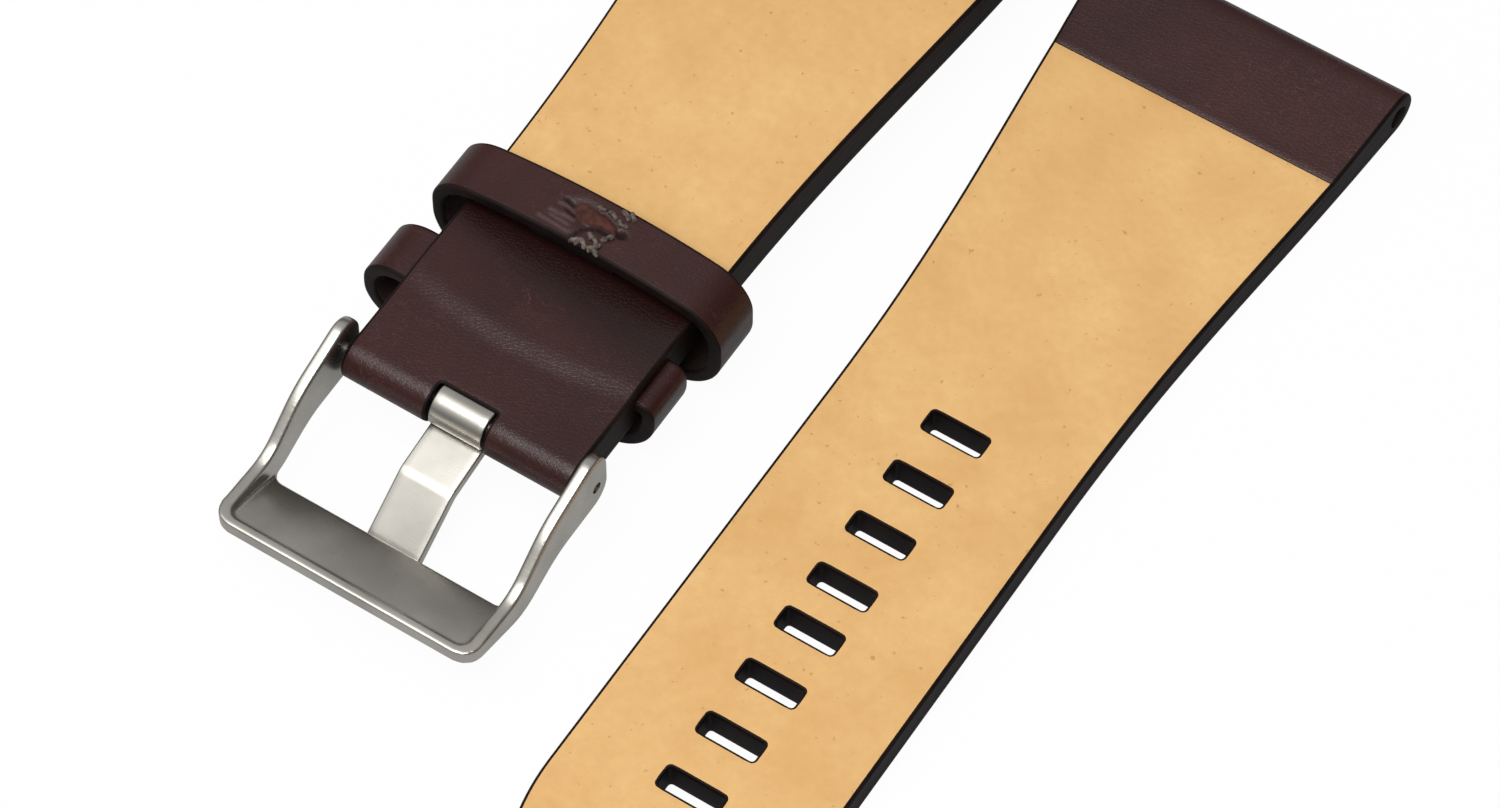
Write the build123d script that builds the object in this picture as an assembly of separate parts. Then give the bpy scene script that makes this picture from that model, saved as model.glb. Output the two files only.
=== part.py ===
from build123d import *
import math
import os

# A two-piece leather watch strap, laid front side down with its lining up.
# X runs across the strap, +Y runs towards the watch case, +Z points from the strap's front to its back.
# The origin is the middle of the spring-bar tunnel of the long half. All lengths are millimetres.

# Leather and lining, both halves
lug_width = 32.0
tail_width = 24.2
leather_thickness = 1.25
lining_thickness = 1.0
tunnel_radius = 1.15
flap_length = 10.65
flare_length = 54.0
lip_angle = 20.0
cut_overrun = 2.0
seat_gap = 0.02

# Plan of the flare, from the lug end to the parallel tail: shares of its length and of the extra width
flare_reach_shares = (0.23, 0.52, 0.76)
flare_width_shares = (0.74, 0.33, 0.08)

# Long half
long_half_reach = 120.0
tail_thickness = 3.3
seam_thickness = 3.75
taper_length = 34.0
tip_length = 21.0
tip_radius = 4.5

# Slots for the tongue
slots_per_group = 4
slot_groups = 2
first_slot_reach = 51.9
slot_pitch = 6.28
group_gap = 5.3
slot_side_gap = 0.2
slot_width = 2.1
slot_corner_radius = 0.35

# Short half
halves_spacing = 35.8
halves_stagger = 3.9
bar_reach = 72.3
back_flap_length = 20.6

# Fixed keeper: a band whose right side is bent tight round the strap's edge and whose left side stands off
keeper_thickness = 1.3
keeper_width = 5.7
keeper_tuck = 5.0
keeper_slack = 1.0
fixed_keeper_reach = 11.4
fixed_keeper_radius = 4.0
fixed_keeper_tight_gap = 0.05
fixed_keeper_loose_gap = 3.4

# Sliding keeper: a closed band with its ends lapped and sewn on the back, where it is two layers thick
sliding_keeper_reach = 20.2
sliding_keeper_radius = 4.8
sliding_keeper_gap = 1.9
sliding_keeper_crown = 0.55
lap_seat_gap = 0.45
under_end_length = 9.0
lap_length = 5.0
lap_width = 2.9
lap_depth = 0.35
lap_shift = 0.8
stitch_length = 1.5
stitch_width = 0.55
stitch_height = 0.35
stitch_end_cut = 0.18
stitch_pitch = 1.7
stitch_rows = 2
stitches_per_row = 3

# Buckle frame
arm_thickness = 1.27
frame_side_gap = 0.4
frame_reach = 19.9
frame_depth = 5.0
plate_length = 7.3
frame_window_radius = 1.2
frame_corner_radius = 2.0
frame_tray_radius = 1.0
rim_thickness = 1.0
rim_edge_cut = 0.3
arm_edge_cut = 0.25
arm_end_reach = 1.8
arm_end_radius = 2.2
arm_top_height = 4.85
arm_bottom_depth = 2.6

# Corners of the frame seen from the side, from the rim to the bar above and back below, as shares of its
# reach and of its depth, each with the radius that rounds it
arm_top_reach_shares = (0.609, 0.356)
arm_top_depth_shares = (-0.378, 0.405)
arm_top_radii = (4.5, 10.0)
arm_bottom_reach_shares = (0.304, 0.585)
arm_bottom_depth_shares = (-0.558, -1.063)
arm_bottom_radii = (8.0, 5.0)
rim_top_depth_share = -0.29
rim_bottom_depth_share = -0.60
plate_edge_depth_share = -0.80
plate_middle_reach_share = 0.795
plate_middle_depth_share = -0.655
plate_end_depth_share = -0.40

# Tongue, its foot and tip in shares of the frame's reach and depth, because it lies along the frame's plate
tongue_width = 5.4
tongue_thickness = 1.1
tongue_clearance = 0.08
tongue_curl_angle = 296.0
tongue_kink_reach = 7.3
tongue_foot_reach_share = 0.58
tongue_foot_depth_share = 1.09
tongue_tip_reach_share = 0.96
tongue_tip_depth_share = 0.68
tongue_kink_radius = 1.4
tongue_foot_radius = 2.0
tongue_corner_radius = 1.2
notch_side_gap = 0.35
notch_end_gap = 0.25

# Spring bar
bar_radius = 0.9
bar_clearance = 0.05
bar_wall = 0.25
bar_end_gap = 0.12
bar_mouth_length = 0.45
plunger_pin_radius = 0.5
plunger_clearance = 0.04
plunger_length = 5.0
plunger_reach = 0.9
pin_hole_clearance = 0.08
spring_wire_radius = 0.1
spring_wire_sides = 6
spring_side_gap = 0.06
spring_turns = 6
spring_end_gap = 0.05


def across(edges, width):
    """A side view, drawn as (Y, Z), carried evenly to both sides of X = 0."""
    return extrude(Plane.YZ * make_face(edges), amount=width / 2, both=True)


def along(face, start, length):
    """A view from the buckle end, drawn as (X, Z), carried from Y = start towards the case."""
    return Pos(0, start + length, 0) * extrude(Plane.XZ * face, amount=length)


def tangent_angle(reach, height, radius):
    """Angle where a line from (-reach, height) touches the top of a circle round the origin."""
    distance = math.hypot(reach, height)
    return math.degrees(math.atan2(height, -reach) - math.acos(radius / distance))


def on_circle(radius, angle, centre=(0, 0)):
    """Point of a circle at an angle in degrees."""
    turn = math.radians(angle)
    return (centre[0] + radius * math.cos(turn), centre[1] + radius * math.sin(turn))


# Sizes that follow from the ones above
nose_radius = tunnel_radius + leather_thickness
floor = -nose_radius
slot_length = tongue_width + 2 * slot_side_gap
slot_reaches = [
    first_slot_reach + i * slot_pitch - (i // slots_per_group) * (slot_pitch - group_gap)
    for i in range(slots_per_group * slot_groups)
]

bar_hole_radius = bar_radius + bar_clearance
fold_radius = bar_hole_radius + leather_thickness
short_half_thickness = 2 * fold_radius
keeper_opening = tail_thickness + keeper_slack
short_front = floor + keeper_thickness + keeper_opening
short_back = short_front + short_half_thickness
short_x = -halves_spacing
short_y = -halves_stagger
short_tunnel_height = short_front + nose_radius
bar_y = short_y - bar_reach
bar_height = short_front + fold_radius
local_back = short_half_thickness - nose_radius
local_bar_height = fold_radius - nose_radius
seam_reach = bar_reach - back_flap_length
keeper_crown_height = short_back + lap_seat_gap + 2 * keeper_thickness

frame_inner_width = tail_width + 2 * frame_side_gap
frame_outer_width = frame_inner_width + 2 * arm_thickness
frame_window_reach = frame_reach - plate_length
tongue_inner_radius = bar_radius + tongue_clearance
tongue_outer_radius = tongue_inner_radius + tongue_thickness
bar_length = frame_inner_width - 2 * bar_end_gap
bar_bore_radius = bar_radius - bar_wall
plunger_foot_end = bar_length / 2 - bar_mouth_length - plunger_clearance
plunger_foot_start = plunger_foot_end - plunger_length


def strap_plan(reach, pointed):
    """Outline from above: flared lug end, parallel tail, and a square or a pointed far end."""
    half_lug = lug_width / 2
    half_tail = tail_width / 2
    flare = nose_radius + flare_length
    points = [(half_lug, nose_radius)]
    for a, b in zip(flare_reach_shares, flare_width_shares):
        points.append((half_tail + b * (half_lug - half_tail), nose_radius - a * flare))
    points.append((half_tail, -flare_length))
    start_slope = (points[1][0] - points[0][0], points[1][1] - points[0][1])
    side = [Spline(*points, tangents=[start_slope, (0, -1)])]
    if pointed:
        shoulder = -reach + tip_length
        arc_radius = (half_tail**2 + tip_length**2) / (2 * half_tail)
        turn = math.degrees(math.asin(tip_length / arc_radius))
        side.append(Line((half_tail, -flare_length), (half_tail, shoulder)))
        side.append(CenterArc((half_tail - arc_radius, shoulder), arc_radius, 0, -turn))
    else:
        side.append(Line((half_tail, -flare_length), (half_tail, -reach)))
        side.append(Line((half_tail, -reach), (0, -reach)))
    other_side = [edge.mirror(Plane.YZ) for edge in side]
    end = Line((-half_lug, nose_radius), (half_lug, nose_radius))
    plan = make_face(side + other_side + [end])
    if pointed:
        plan = fillet(plan.vertices().sort_by(Axis.Y)[0], tip_radius)
    return plan


def cut_to_plan(edges, plan):
    """A layer from its side view, cut to the strap's outline as the press knife cuts all layers at once."""
    block = Pos(0, 0, floor - cut_overrun) * extrude(plan, amount=short_half_thickness + 2 * cut_overrun)
    return across(edges, lug_width + cut_overrun) & block


def slot_punches():
    """The punches of all the slots of the long half, in their groups."""
    punch = RectangleRounded(slot_length, slot_width, slot_corner_radius)
    punch = extrude(punch, amount=2 * nose_radius + 2 * cut_overrun)
    return [Pos(0, -reach, floor - cut_overrun) * punch for reach in slot_reaches]


def nose_edges(back):
    """Edges of the outer leather round the lug end, from its lower face to the flap's end and back inside."""
    outer_angle = tangent_angle(flap_length, back, nose_radius)
    inner_angle = tangent_angle(flap_length, back - lining_thickness, tunnel_radius)
    return [
        CenterArc((0, 0), nose_radius, -90, outer_angle + 90),
        Line(on_circle(nose_radius, outer_angle), (-flap_length, back)),
        Line((-flap_length, back), (-flap_length, back - lining_thickness)),
        Line((-flap_length, back - lining_thickness), on_circle(tunnel_radius, inner_angle)),
        CenterArc((0, 0), tunnel_radius, -90, inner_angle + 90),
    ]


def hollow_edges(back):
    """Edges of the filler board's end, hollowed to close the tunnel, with its thin lips cut off square."""
    inner_angle = tangent_angle(flap_length, back - lining_thickness, tunnel_radius)
    top_angle = inner_angle + lip_angle
    bottom_angle = 270 - lip_angle
    top = on_circle(tunnel_radius, top_angle)
    bottom = on_circle(tunnel_radius, bottom_angle)
    touch = on_circle(tunnel_radius, inner_angle)
    flap_end = (-flap_length, back - lining_thickness)
    slope = (touch[1] - flap_end[1]) / (touch[0] - flap_end[0])
    under_flap = (top[0], touch[1] + slope * (top[0] - touch[0]))
    return [
        Line(flap_end, under_flap),
        Line(under_flap, top),
        CenterArc((0, 0), tunnel_radius, top_angle, bottom_angle - top_angle),
        Line(bottom, (bottom[0], -tunnel_radius)),
    ]


def hole_half_outer(plan):
    back = floor + seam_thickness
    far = -long_half_reach - cut_overrun
    edges = nose_edges(back) + [
        Line((far, -nose_radius), (0, -nose_radius)),
        Line((0, -tunnel_radius), (far, -tunnel_radius)),
        Line((far, -tunnel_radius), (far, -nose_radius)),
    ]
    return cut_to_plan(edges, plan) - slot_punches()


def hole_half_filler(plan):
    far = -long_half_reach - cut_overrun
    hollow = hollow_edges(floor + seam_thickness)
    flap_end = hollow[0] @ 0
    foot = hollow[-1] @ 1
    tail_back = floor + tail_thickness - lining_thickness
    taper_end = (-flap_length - taper_length, tail_back)
    edges = hollow + [
        Line((foot.X, foot.Y), (far, -tunnel_radius)),
        Line((far, -tunnel_radius), (far, tail_back)),
        Line((far, tail_back), taper_end),
        Line(taper_end, (flap_end.X, flap_end.Y)),
    ]
    return cut_to_plan(edges, plan) - slot_punches()


def hole_half_lining(plan):
    back = floor + seam_thickness
    tail_back = floor + tail_thickness
    far = -long_half_reach - cut_overrun
    taper_end = -flap_length - taper_length
    edges = Polyline(
        (-flap_length, back),
        (taper_end, tail_back),
        (far, tail_back),
        (far, tail_back - lining_thickness),
        (taper_end, tail_back - lining_thickness),
        (-flap_length, back - lining_thickness),
        close=True,
    )
    return cut_to_plan(edges, plan) - slot_punches()


def tongue_notch():
    """The hole punched in the fold for the tongue's curl."""
    depth = tongue_outer_radius + notch_end_gap
    length = depth + fold_radius + cut_overrun
    width = tongue_width + 2 * notch_side_gap
    plan = Rectangle(width, length, align=(Align.CENTER, Align.MAX))
    height = short_half_thickness + 2 * cut_overrun
    return Pos(0, depth - bar_reach, floor - cut_overrun) * extrude(plan, amount=height)


def keeper_pockets():
    """Pockets under the back flap for the two ends of the fixed keeper."""
    inner = tail_width / 2 - keeper_tuck - seat_gap
    pocket = Box(
        keeper_tuck + seat_gap + cut_overrun,
        keeper_width + 2 * seat_gap,
        keeper_thickness + 2 * seat_gap,
        align=(Align.MIN, Align.CENTER, Align.MAX),
    )
    pocket = Pos(inner, fixed_keeper_reach - bar_reach, local_back - leather_thickness) * pocket
    return [pocket, pocket.mirror(Plane.YZ)]


def buckle_half_outer(plan):
    back = local_back
    bar = (-bar_reach, local_bar_height)
    edges = nose_edges(back) + [
        Line((0, -nose_radius), (-bar_reach, -nose_radius)),
        Line((0, -tunnel_radius), (-bar_reach, -tunnel_radius)),
        CenterArc(bar, bar_hole_radius, 90, 180),
        CenterArc(bar, fold_radius, 90, 180),
        Line((-bar_reach, back), (-seam_reach, back)),
        Line((-bar_reach, back - leather_thickness), (-seam_reach, back - leather_thickness)),
        Line((-seam_reach, back - leather_thickness), (-seam_reach, back)),
    ]
    return cut_to_plan(edges, plan) - tongue_notch()


def buckle_half_filler(plan):
    hollow = hollow_edges(local_back)
    flap_end = hollow[0] @ 0
    foot = hollow[-1] @ 1
    bar = (-bar_reach, local_bar_height)
    mouth_angle = 90 - lip_angle
    upper = on_circle(bar_hole_radius, mouth_angle, bar)
    lower = on_circle(bar_hole_radius, -mouth_angle, bar)
    under_flap = local_back - leather_thickness
    edges = hollow + [
        Line((foot.X, foot.Y), (lower[0], -tunnel_radius)),
        Line((lower[0], -tunnel_radius), lower),
        CenterArc(bar, bar_hole_radius, -mouth_angle, 2 * mouth_angle),
        Line(upper, (upper[0], under_flap)),
        Line((upper[0], under_flap), (-seam_reach, under_flap)),
        Line((-seam_reach, under_flap), (-seam_reach, flap_end.Y)),
        Line((-seam_reach, flap_end.Y), (flap_end.X, flap_end.Y)),
    ]
    return cut_to_plan(edges, plan) - tongue_notch() - keeper_pockets()


def buckle_half_lining(plan):
    edges = Polyline(
        (-flap_length, local_back),
        (-seam_reach, local_back),
        (-seam_reach, local_back - lining_thickness),
        (-flap_length, local_back - lining_thickness),
        close=True,
    )
    return cut_to_plan(edges, plan)


def to_short_half(solid):
    """Moves a piece drawn about the short half's own tunnel to its place beside the long half."""
    return Pos(short_x, short_y, short_tunnel_height) * solid


def keeper_outline(width, height, radius, tight_radius):
    """Rounded rectangle whose upper right corner, bent tight round the strap's edge, has its own radius."""
    outline = Rectangle(width, height)
    corners = outline.vertices().sort_by(Axis((0, 0), (1, 1)))
    outline = fillet(corners[:-1], radius)
    if tight_radius > 0:
        outline = fillet(outline.vertices().sort_by(Axis((0, 0), (1, 1)))[-1], tight_radius)
    return outline


def fixed_keeper():
    """A band round the front, open on the back, where its ends lie in the pockets under the flap."""
    top = short_back - leather_thickness - seat_gap
    height = top - floor
    inner_width = tail_width + fixed_keeper_tight_gap + fixed_keeper_loose_gap
    inner_radius = fixed_keeper_radius - keeper_thickness
    inner = keeper_outline(inner_width, height - 2 * keeper_thickness, inner_radius, 0)
    outer_width = inner_width + 2 * keeper_thickness
    ring = keeper_outline(outer_width, height, fixed_keeper_radius, keeper_thickness) - inner
    shift = (fixed_keeper_tight_gap - fixed_keeper_loose_gap) / 2
    ring = Pos(shift, floor + height / 2) * ring
    opening = Pos(0, top) * Rectangle(tail_width - 2 * keeper_tuck, 2 * keeper_thickness + 2 * seat_gap)
    start = bar_y + fixed_keeper_reach - keeper_width / 2
    return Pos(short_x, 0, 0) * along(ring - opening, start, keeper_width)


def sliding_keeper():
    """A closed band, crowned on the back, with its under end inside the crown and a shallow step at the lap."""
    half = tail_width / 2 + sliding_keeper_gap + keeper_thickness
    side_top = keeper_crown_height - sliding_keeper_crown
    edges = [
        Line((-half, floor), (half, floor)),
        Line((half, floor), (half, side_top)),
        ThreePointArc((half, side_top), (0, keeper_crown_height), (-half, side_top)),
        Line((-half, side_top), (-half, floor)),
    ]
    outline = make_face(edges)
    outline = fillet(outline.vertices(), sliding_keeper_radius)
    inner = offset(outline, amount=-keeper_thickness)
    under_end = inner - offset(outline, amount=-2 * keeper_thickness)
    under_end &= Pos(-lap_shift, side_top) * Rectangle(under_end_length, 4 * keeper_thickness)
    ring = outline - inner + under_end
    band = along(ring, bar_y + sliding_keeper_reach - keeper_width / 2, keeper_width)
    lap = Pos(-lap_shift, bar_y + sliding_keeper_reach, keeper_crown_height)
    return Pos(short_x, 0, 0) * (band - lap * Box(lap_length, lap_width, 2 * lap_depth))


def keeper_stitches():
    """Short stitches that hold the lap of the sliding keeper, in a row along each edge of the band."""
    stitch = chamfer(Rectangle(stitch_length, stitch_width).vertices(), stitch_end_cut)
    stitch = extrude(stitch, amount=stitch_height)
    row_spacing = (keeper_width + lap_width) / 2
    solids = []
    for row in range(stitch_rows):
        for column in range(stitches_per_row):
            x = short_x - lap_shift + (column - (stitches_per_row - 1) / 2) * stitch_pitch
            y = bar_y + sliding_keeper_reach + (row - (stitch_rows - 1) / 2) * row_spacing
            solids.append(Pos(x, y, keeper_crown_height) * stitch)
    return Compound(children=solids)


def frame_points(reach_shares, depth_shares):
    """Points of the frame's side view, from shares of its reach along -Y and of its depth."""
    return [(-frame_reach * a, frame_depth * b) for a, b in zip(reach_shares, depth_shares)]


def frame_side():
    """Edges of the frame seen from the side, about the bar: round-ended arms that bow down to the plate."""
    rim = (-frame_reach, rim_top_depth_share * frame_depth)
    rim_foot = (-frame_reach, rim_bottom_depth_share * frame_depth)
    top = frame_points(arm_top_reach_shares, arm_top_depth_shares)
    end = [(arm_end_reach, arm_top_height), (arm_end_reach, -arm_bottom_depth)]
    bottom = frame_points(arm_bottom_reach_shares, arm_bottom_depth_shares)
    radii = arm_top_radii + (arm_end_radius, arm_end_radius) + arm_bottom_radii
    return [FilletPolyline(rim, *top, *end, *bottom, rim_foot, radius=radii), Line(rim_foot, rim)]


def frame_window():
    """The opening between the arms, from past the bar to the plate."""
    length = frame_window_reach + arm_end_reach + cut_overrun
    window = Rectangle(frame_inner_width, length, align=(Align.CENTER, Align.MIN))
    window = fillet(window.vertices().sort_by(Axis.Y)[:2], frame_window_radius)
    height = arm_top_height + frame_depth + 2 * cut_overrun
    return Pos(0, -frame_window_reach, -frame_depth - cut_overrun) * extrude(window, amount=height)


def frame_dish():
    """The hollow over the plate, which rises in a shallow curve to the rim."""
    near = frame_window_radius - frame_window_reach
    far = rim_thickness - frame_reach
    high = arm_top_height + cut_overrun
    edge = (-frame_window_reach, plate_edge_depth_share * frame_depth)
    middle = (-plate_middle_reach_share * frame_reach, plate_middle_depth_share * frame_depth)
    end = (far, plate_end_depth_share * frame_depth)
    edges = [
        ThreePointArc(edge, middle, end),
        Line(end, (far, high)),
        Line((far, high), (near, high)),
        Line((near, high), (near, edge[1])),
        Line((near, edge[1]), edge),
    ]
    dish = across(edges, frame_inner_width)
    return fillet(dish.edges().filter_by(Axis.Z).group_by(Axis.Y)[0], frame_tray_radius)


def skin_edges(body):
    """Edges round the arms' outer faces and round the rim, above and below."""
    half = frame_outer_width / 2 - seat_gap
    corner_start = frame_corner_radius - frame_reach
    edges = body.edges().filter_by(Axis.Z, reverse=True)
    return [e for e in edges if abs(e.center().X) > half or e.center().Y < corner_start]


def arm_inner_edges(frame):
    """Upper edges of the arms along the window and the dish."""
    half = frame_inner_width / 2
    rim_height = rim_bottom_depth_share * frame_depth
    edges = frame.edges().filter_by(GeomType.LINE, reverse=True).filter_by(GeomType.ELLIPSE, reverse=True)
    on_arm = [e for e in edges if abs(abs(e.center().X) - half) < seat_gap]
    return [e for e in on_arm if e.bounding_box().max.Y > -frame_reach / 2 and e.center().Z > rim_height]


def buckle_frame():
    """One casting: the outer edges are eased first, then the window, the dish and the pin holes are cut."""
    body = across(frame_side(), frame_outer_width)
    body = fillet(body.edges().filter_by(Axis.Z).group_by(Axis.Y)[0], frame_corner_radius)
    body = chamfer(skin_edges(body), rim_edge_cut)
    frame = body - frame_window() - frame_dish()
    frame = chamfer(arm_inner_edges(frame), arm_edge_cut)
    hole_radius = plunger_pin_radius + pin_hole_clearance
    return frame - Cylinder(hole_radius, frame_outer_width + cut_overrun, rotation=(0, 90, 0))


def buckle_tongue():
    """A strip curled once round the bar, kinked down, then bent up along the plate's underside."""
    foot = (-tongue_foot_reach_share * frame_reach, -tongue_foot_depth_share * frame_depth)
    tip = (-tongue_tip_reach_share * frame_reach, -tongue_tip_depth_share * frame_depth)
    upper = FilletPolyline(
        (0, -tongue_inner_radius),
        (-tongue_kink_reach, -tongue_inner_radius),
        foot,
        tip,
        radius=[tongue_kink_radius, tongue_foot_radius],
    )
    lower = upper.offset_2d(-tongue_thickness, side=Side.LEFT, closed=False)
    lip = tongue_curl_angle - 90
    edges = [
        upper,
        lower,
        CenterArc((0, 0), tongue_inner_radius, -90, tongue_curl_angle),
        CenterArc((0, 0), tongue_outer_radius, -90, tongue_curl_angle),
        Line(on_circle(tongue_inner_radius, lip), on_circle(tongue_outer_radius, lip)),
        Line(upper @ 1, lower @ 1),
    ]
    strip = across(edges, tongue_width)
    tip_face = strip.faces().sort_by(Axis.Y)[0]
    return fillet(tip_face.edges().filter_by(Axis.X, reverse=True), tongue_corner_radius)


def spring_bar_barrel():
    """A thin tube, rolled in at both ends to hold the plungers."""
    half = bar_length / 2
    shoulder = half - bar_mouth_length
    mouth_radius = plunger_pin_radius + plunger_clearance
    section = Polyline(
        (-half, mouth_radius),
        (-half, bar_radius),
        (half, bar_radius),
        (half, mouth_radius),
        (shoulder, mouth_radius),
        (shoulder, bar_bore_radius),
        (-shoulder, bar_bore_radius),
        (-shoulder, mouth_radius),
        close=True,
    )
    return revolve(Plane.XZ * make_face(section), Axis.X)


def right_plunger():
    """A pin with a wider foot that slides in the barrel."""
    foot_radius = bar_bore_radius - plunger_clearance
    tip = frame_inner_width / 2 + plunger_reach
    section = Polyline(
        (plunger_foot_start, 0),
        (plunger_foot_start, foot_radius),
        (plunger_foot_end, foot_radius),
        (plunger_foot_end, plunger_pin_radius),
        (tip, plunger_pin_radius),
        (tip, 0),
        close=True,
    )
    return revolve(Plane.XZ * make_face(section), Axis.X)


def helix_point(turns, radius, start, pitch):
    """Point and direction on a helix about X, after a number of turns from its start."""
    angle = 2 * math.pi * turns
    point = Vector(start + pitch * turns, radius * math.cos(angle), radius * math.sin(angle))
    climb = pitch / (2 * math.pi * radius)
    return point, Vector(climb, -math.sin(angle), math.cos(angle)).normalized()


def arc_pair(start, start_direction, end, end_direction):
    """Two arcs that leave along one direction, arrive along the other and share a tangent where they meet."""
    chord = end - start
    both = chord.dot(start_direction + end_direction)
    spread = 2 * (1 - start_direction.dot(end_direction))
    reach = (math.sqrt(both**2 + spread * chord.dot(chord)) - both) / spread
    near = start + start_direction * reach
    far = end - end_direction * reach
    middle = (near + far) / 2
    return [
        TangentArc(start, middle, tangent=start_direction),
        TangentArc(middle, end, tangent=far - near),
    ]


def spring_bar_spring():
    """The coil spring between the plungers' feet: one wire on a helix, a pair of arcs to a half turn.

    The real wire is round; it is drawn here with a few flat sides.
    """
    radius = bar_bore_radius - spring_side_gap - spring_wire_radius
    start = -plunger_foot_start + spring_wire_radius + spring_end_gap
    pitch = -2 * start / spring_turns
    arcs = []
    for i in range(2 * spring_turns):
        here, direction = helix_point(i / 2, radius, start, pitch)
        there, next_direction = helix_point((i + 1) / 2, radius, start, pitch)
        arcs += arc_pair(here, direction, there, next_direction)
    print("spring: least gap between turns", round(least_coil_gap(radius, start, pitch), 2))
    section = RegularPolygon(spring_wire_radius, spring_wire_sides)
    return sweep(Plane(origin=arcs[0] @ 0, z_dir=arcs[0] % 0) * section, path=Wire(arcs))


def least_coil_gap(radius, start, pitch):
    """Least gap from one place on the wire to the turn beside it, on points half a turn to a turn and a half on."""
    place = helix_point(0, radius, start, pitch)[0]
    steps = 48
    beside = [helix_point((steps / 2 + i) / steps, radius, start, pitch)[0] for i in range(steps)]
    return min((point - place).length for point in beside) - 2 * spring_wire_radius


def at_bar(solid):
    """Moves a piece drawn about the bar's axis to the bar."""
    return Pos(short_x, bar_y, bar_height) * solid


def build():
    long_plan = strap_plan(long_half_reach, True)
    short_plan = strap_plan(bar_reach + fold_radius, False)
    return {
        "hole_half_outer": hole_half_outer(long_plan),
        "hole_half_filler": hole_half_filler(long_plan),
        "hole_half_lining": hole_half_lining(long_plan),
        "buckle_half_outer": to_short_half(buckle_half_outer(short_plan)),
        "buckle_half_filler": to_short_half(buckle_half_filler(short_plan)),
        "buckle_half_lining": to_short_half(buckle_half_lining(short_plan)),
        "fixed_keeper": fixed_keeper(),
        "sliding_keeper": sliding_keeper(),
        "keeper_stitches": keeper_stitches(),
        "buckle_frame": at_bar(buckle_frame()),
        "buckle_tongue": at_bar(buckle_tongue()),
        "spring_bar_barrel": at_bar(spring_bar_barrel()),
        "spring_bar_left_plunger": at_bar(right_plunger().mirror(Plane.YZ)),
        "spring_bar_right_plunger": at_bar(right_plunger()),
        "spring_bar_spring": at_bar(spring_bar_spring()),
    }


os.makedirs("parts", exist_ok=True)
for name, solid in build().items():
    export_step(solid, os.path.join("parts", name + ".step"))
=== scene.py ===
import math

import bpy
import numpy as np
from mathutils import Matrix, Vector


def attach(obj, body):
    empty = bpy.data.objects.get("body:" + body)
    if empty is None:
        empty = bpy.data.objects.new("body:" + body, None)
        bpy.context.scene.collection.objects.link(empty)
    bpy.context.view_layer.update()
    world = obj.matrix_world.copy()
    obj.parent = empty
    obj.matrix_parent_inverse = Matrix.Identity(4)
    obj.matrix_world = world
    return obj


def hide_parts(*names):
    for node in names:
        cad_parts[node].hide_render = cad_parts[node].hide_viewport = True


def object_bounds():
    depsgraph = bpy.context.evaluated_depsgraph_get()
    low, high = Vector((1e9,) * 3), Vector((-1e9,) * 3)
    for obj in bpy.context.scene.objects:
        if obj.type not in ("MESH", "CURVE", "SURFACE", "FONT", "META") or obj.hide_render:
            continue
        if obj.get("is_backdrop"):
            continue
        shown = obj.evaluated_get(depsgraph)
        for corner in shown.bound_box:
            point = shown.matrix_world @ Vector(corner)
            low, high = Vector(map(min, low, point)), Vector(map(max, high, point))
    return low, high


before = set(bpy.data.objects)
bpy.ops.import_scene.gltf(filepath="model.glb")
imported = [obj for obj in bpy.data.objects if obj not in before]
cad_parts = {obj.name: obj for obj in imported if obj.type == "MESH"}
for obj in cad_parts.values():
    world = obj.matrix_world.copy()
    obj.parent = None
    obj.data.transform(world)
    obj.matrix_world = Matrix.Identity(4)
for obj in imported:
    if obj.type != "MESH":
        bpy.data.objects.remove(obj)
cad_low, cad_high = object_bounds()

# A leather watch strap in two halves, lying front side down beside each other, with the lining up.
# X runs across the strap, Y towards the watch case, Z up. Sizes are millimetres, and the last step of
# each mesh turns them into metres.

# Outer leather of the long half: one sheet of dark calf, 1.25 mm thick, that makes the front, turns round
# the lug end over the spring-bar tunnel and ends in a short flap on the back. Punched for the tongue.
millimetre = 0.001
lug_half_width = 16.0
tail_half_width = 12.1
leather_thickness = 1.25
lining_thickness = 1.0
tunnel_radius = 1.15
nose_radius = tunnel_radius + leather_thickness
flap_length = 10.65
flare_length = 54.0
flare_reach_shares = (0.0, 0.23, 0.52, 0.76, 1.0)
flare_width_shares = (1.0, 0.74, 0.33, 0.08, 0.0)
seam_height = 1.35
tip_reach = 120.0
tip_length = 21.0
tip_radius = 4.5
edge_round = 0.32
end_ease = 0.14
flush = 0.015

slot_half_length = 2.9
slot_half_width = 1.05
slot_corner = 0.35
slot_margin = 0.95
slot_first = 51.9
slot_pitch = 6.28
slot_middle_pitch = 5.3
slot_reaches = [slot_first + slot_pitch * i - (slot_pitch - slot_middle_pitch) * (i // 4) for i in range(8)]

# How far a punched slot's pressed lip stands back from the slot, and how deep below the face.
slot_lip = [(0.28, 0.0), (0.1, 0.04), (0.02, 0.16), (0.0, 0.34)]
# Angles of the points round an eased edge.
quarter_turn = np.radians(np.linspace(0, 90, 5))


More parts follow.
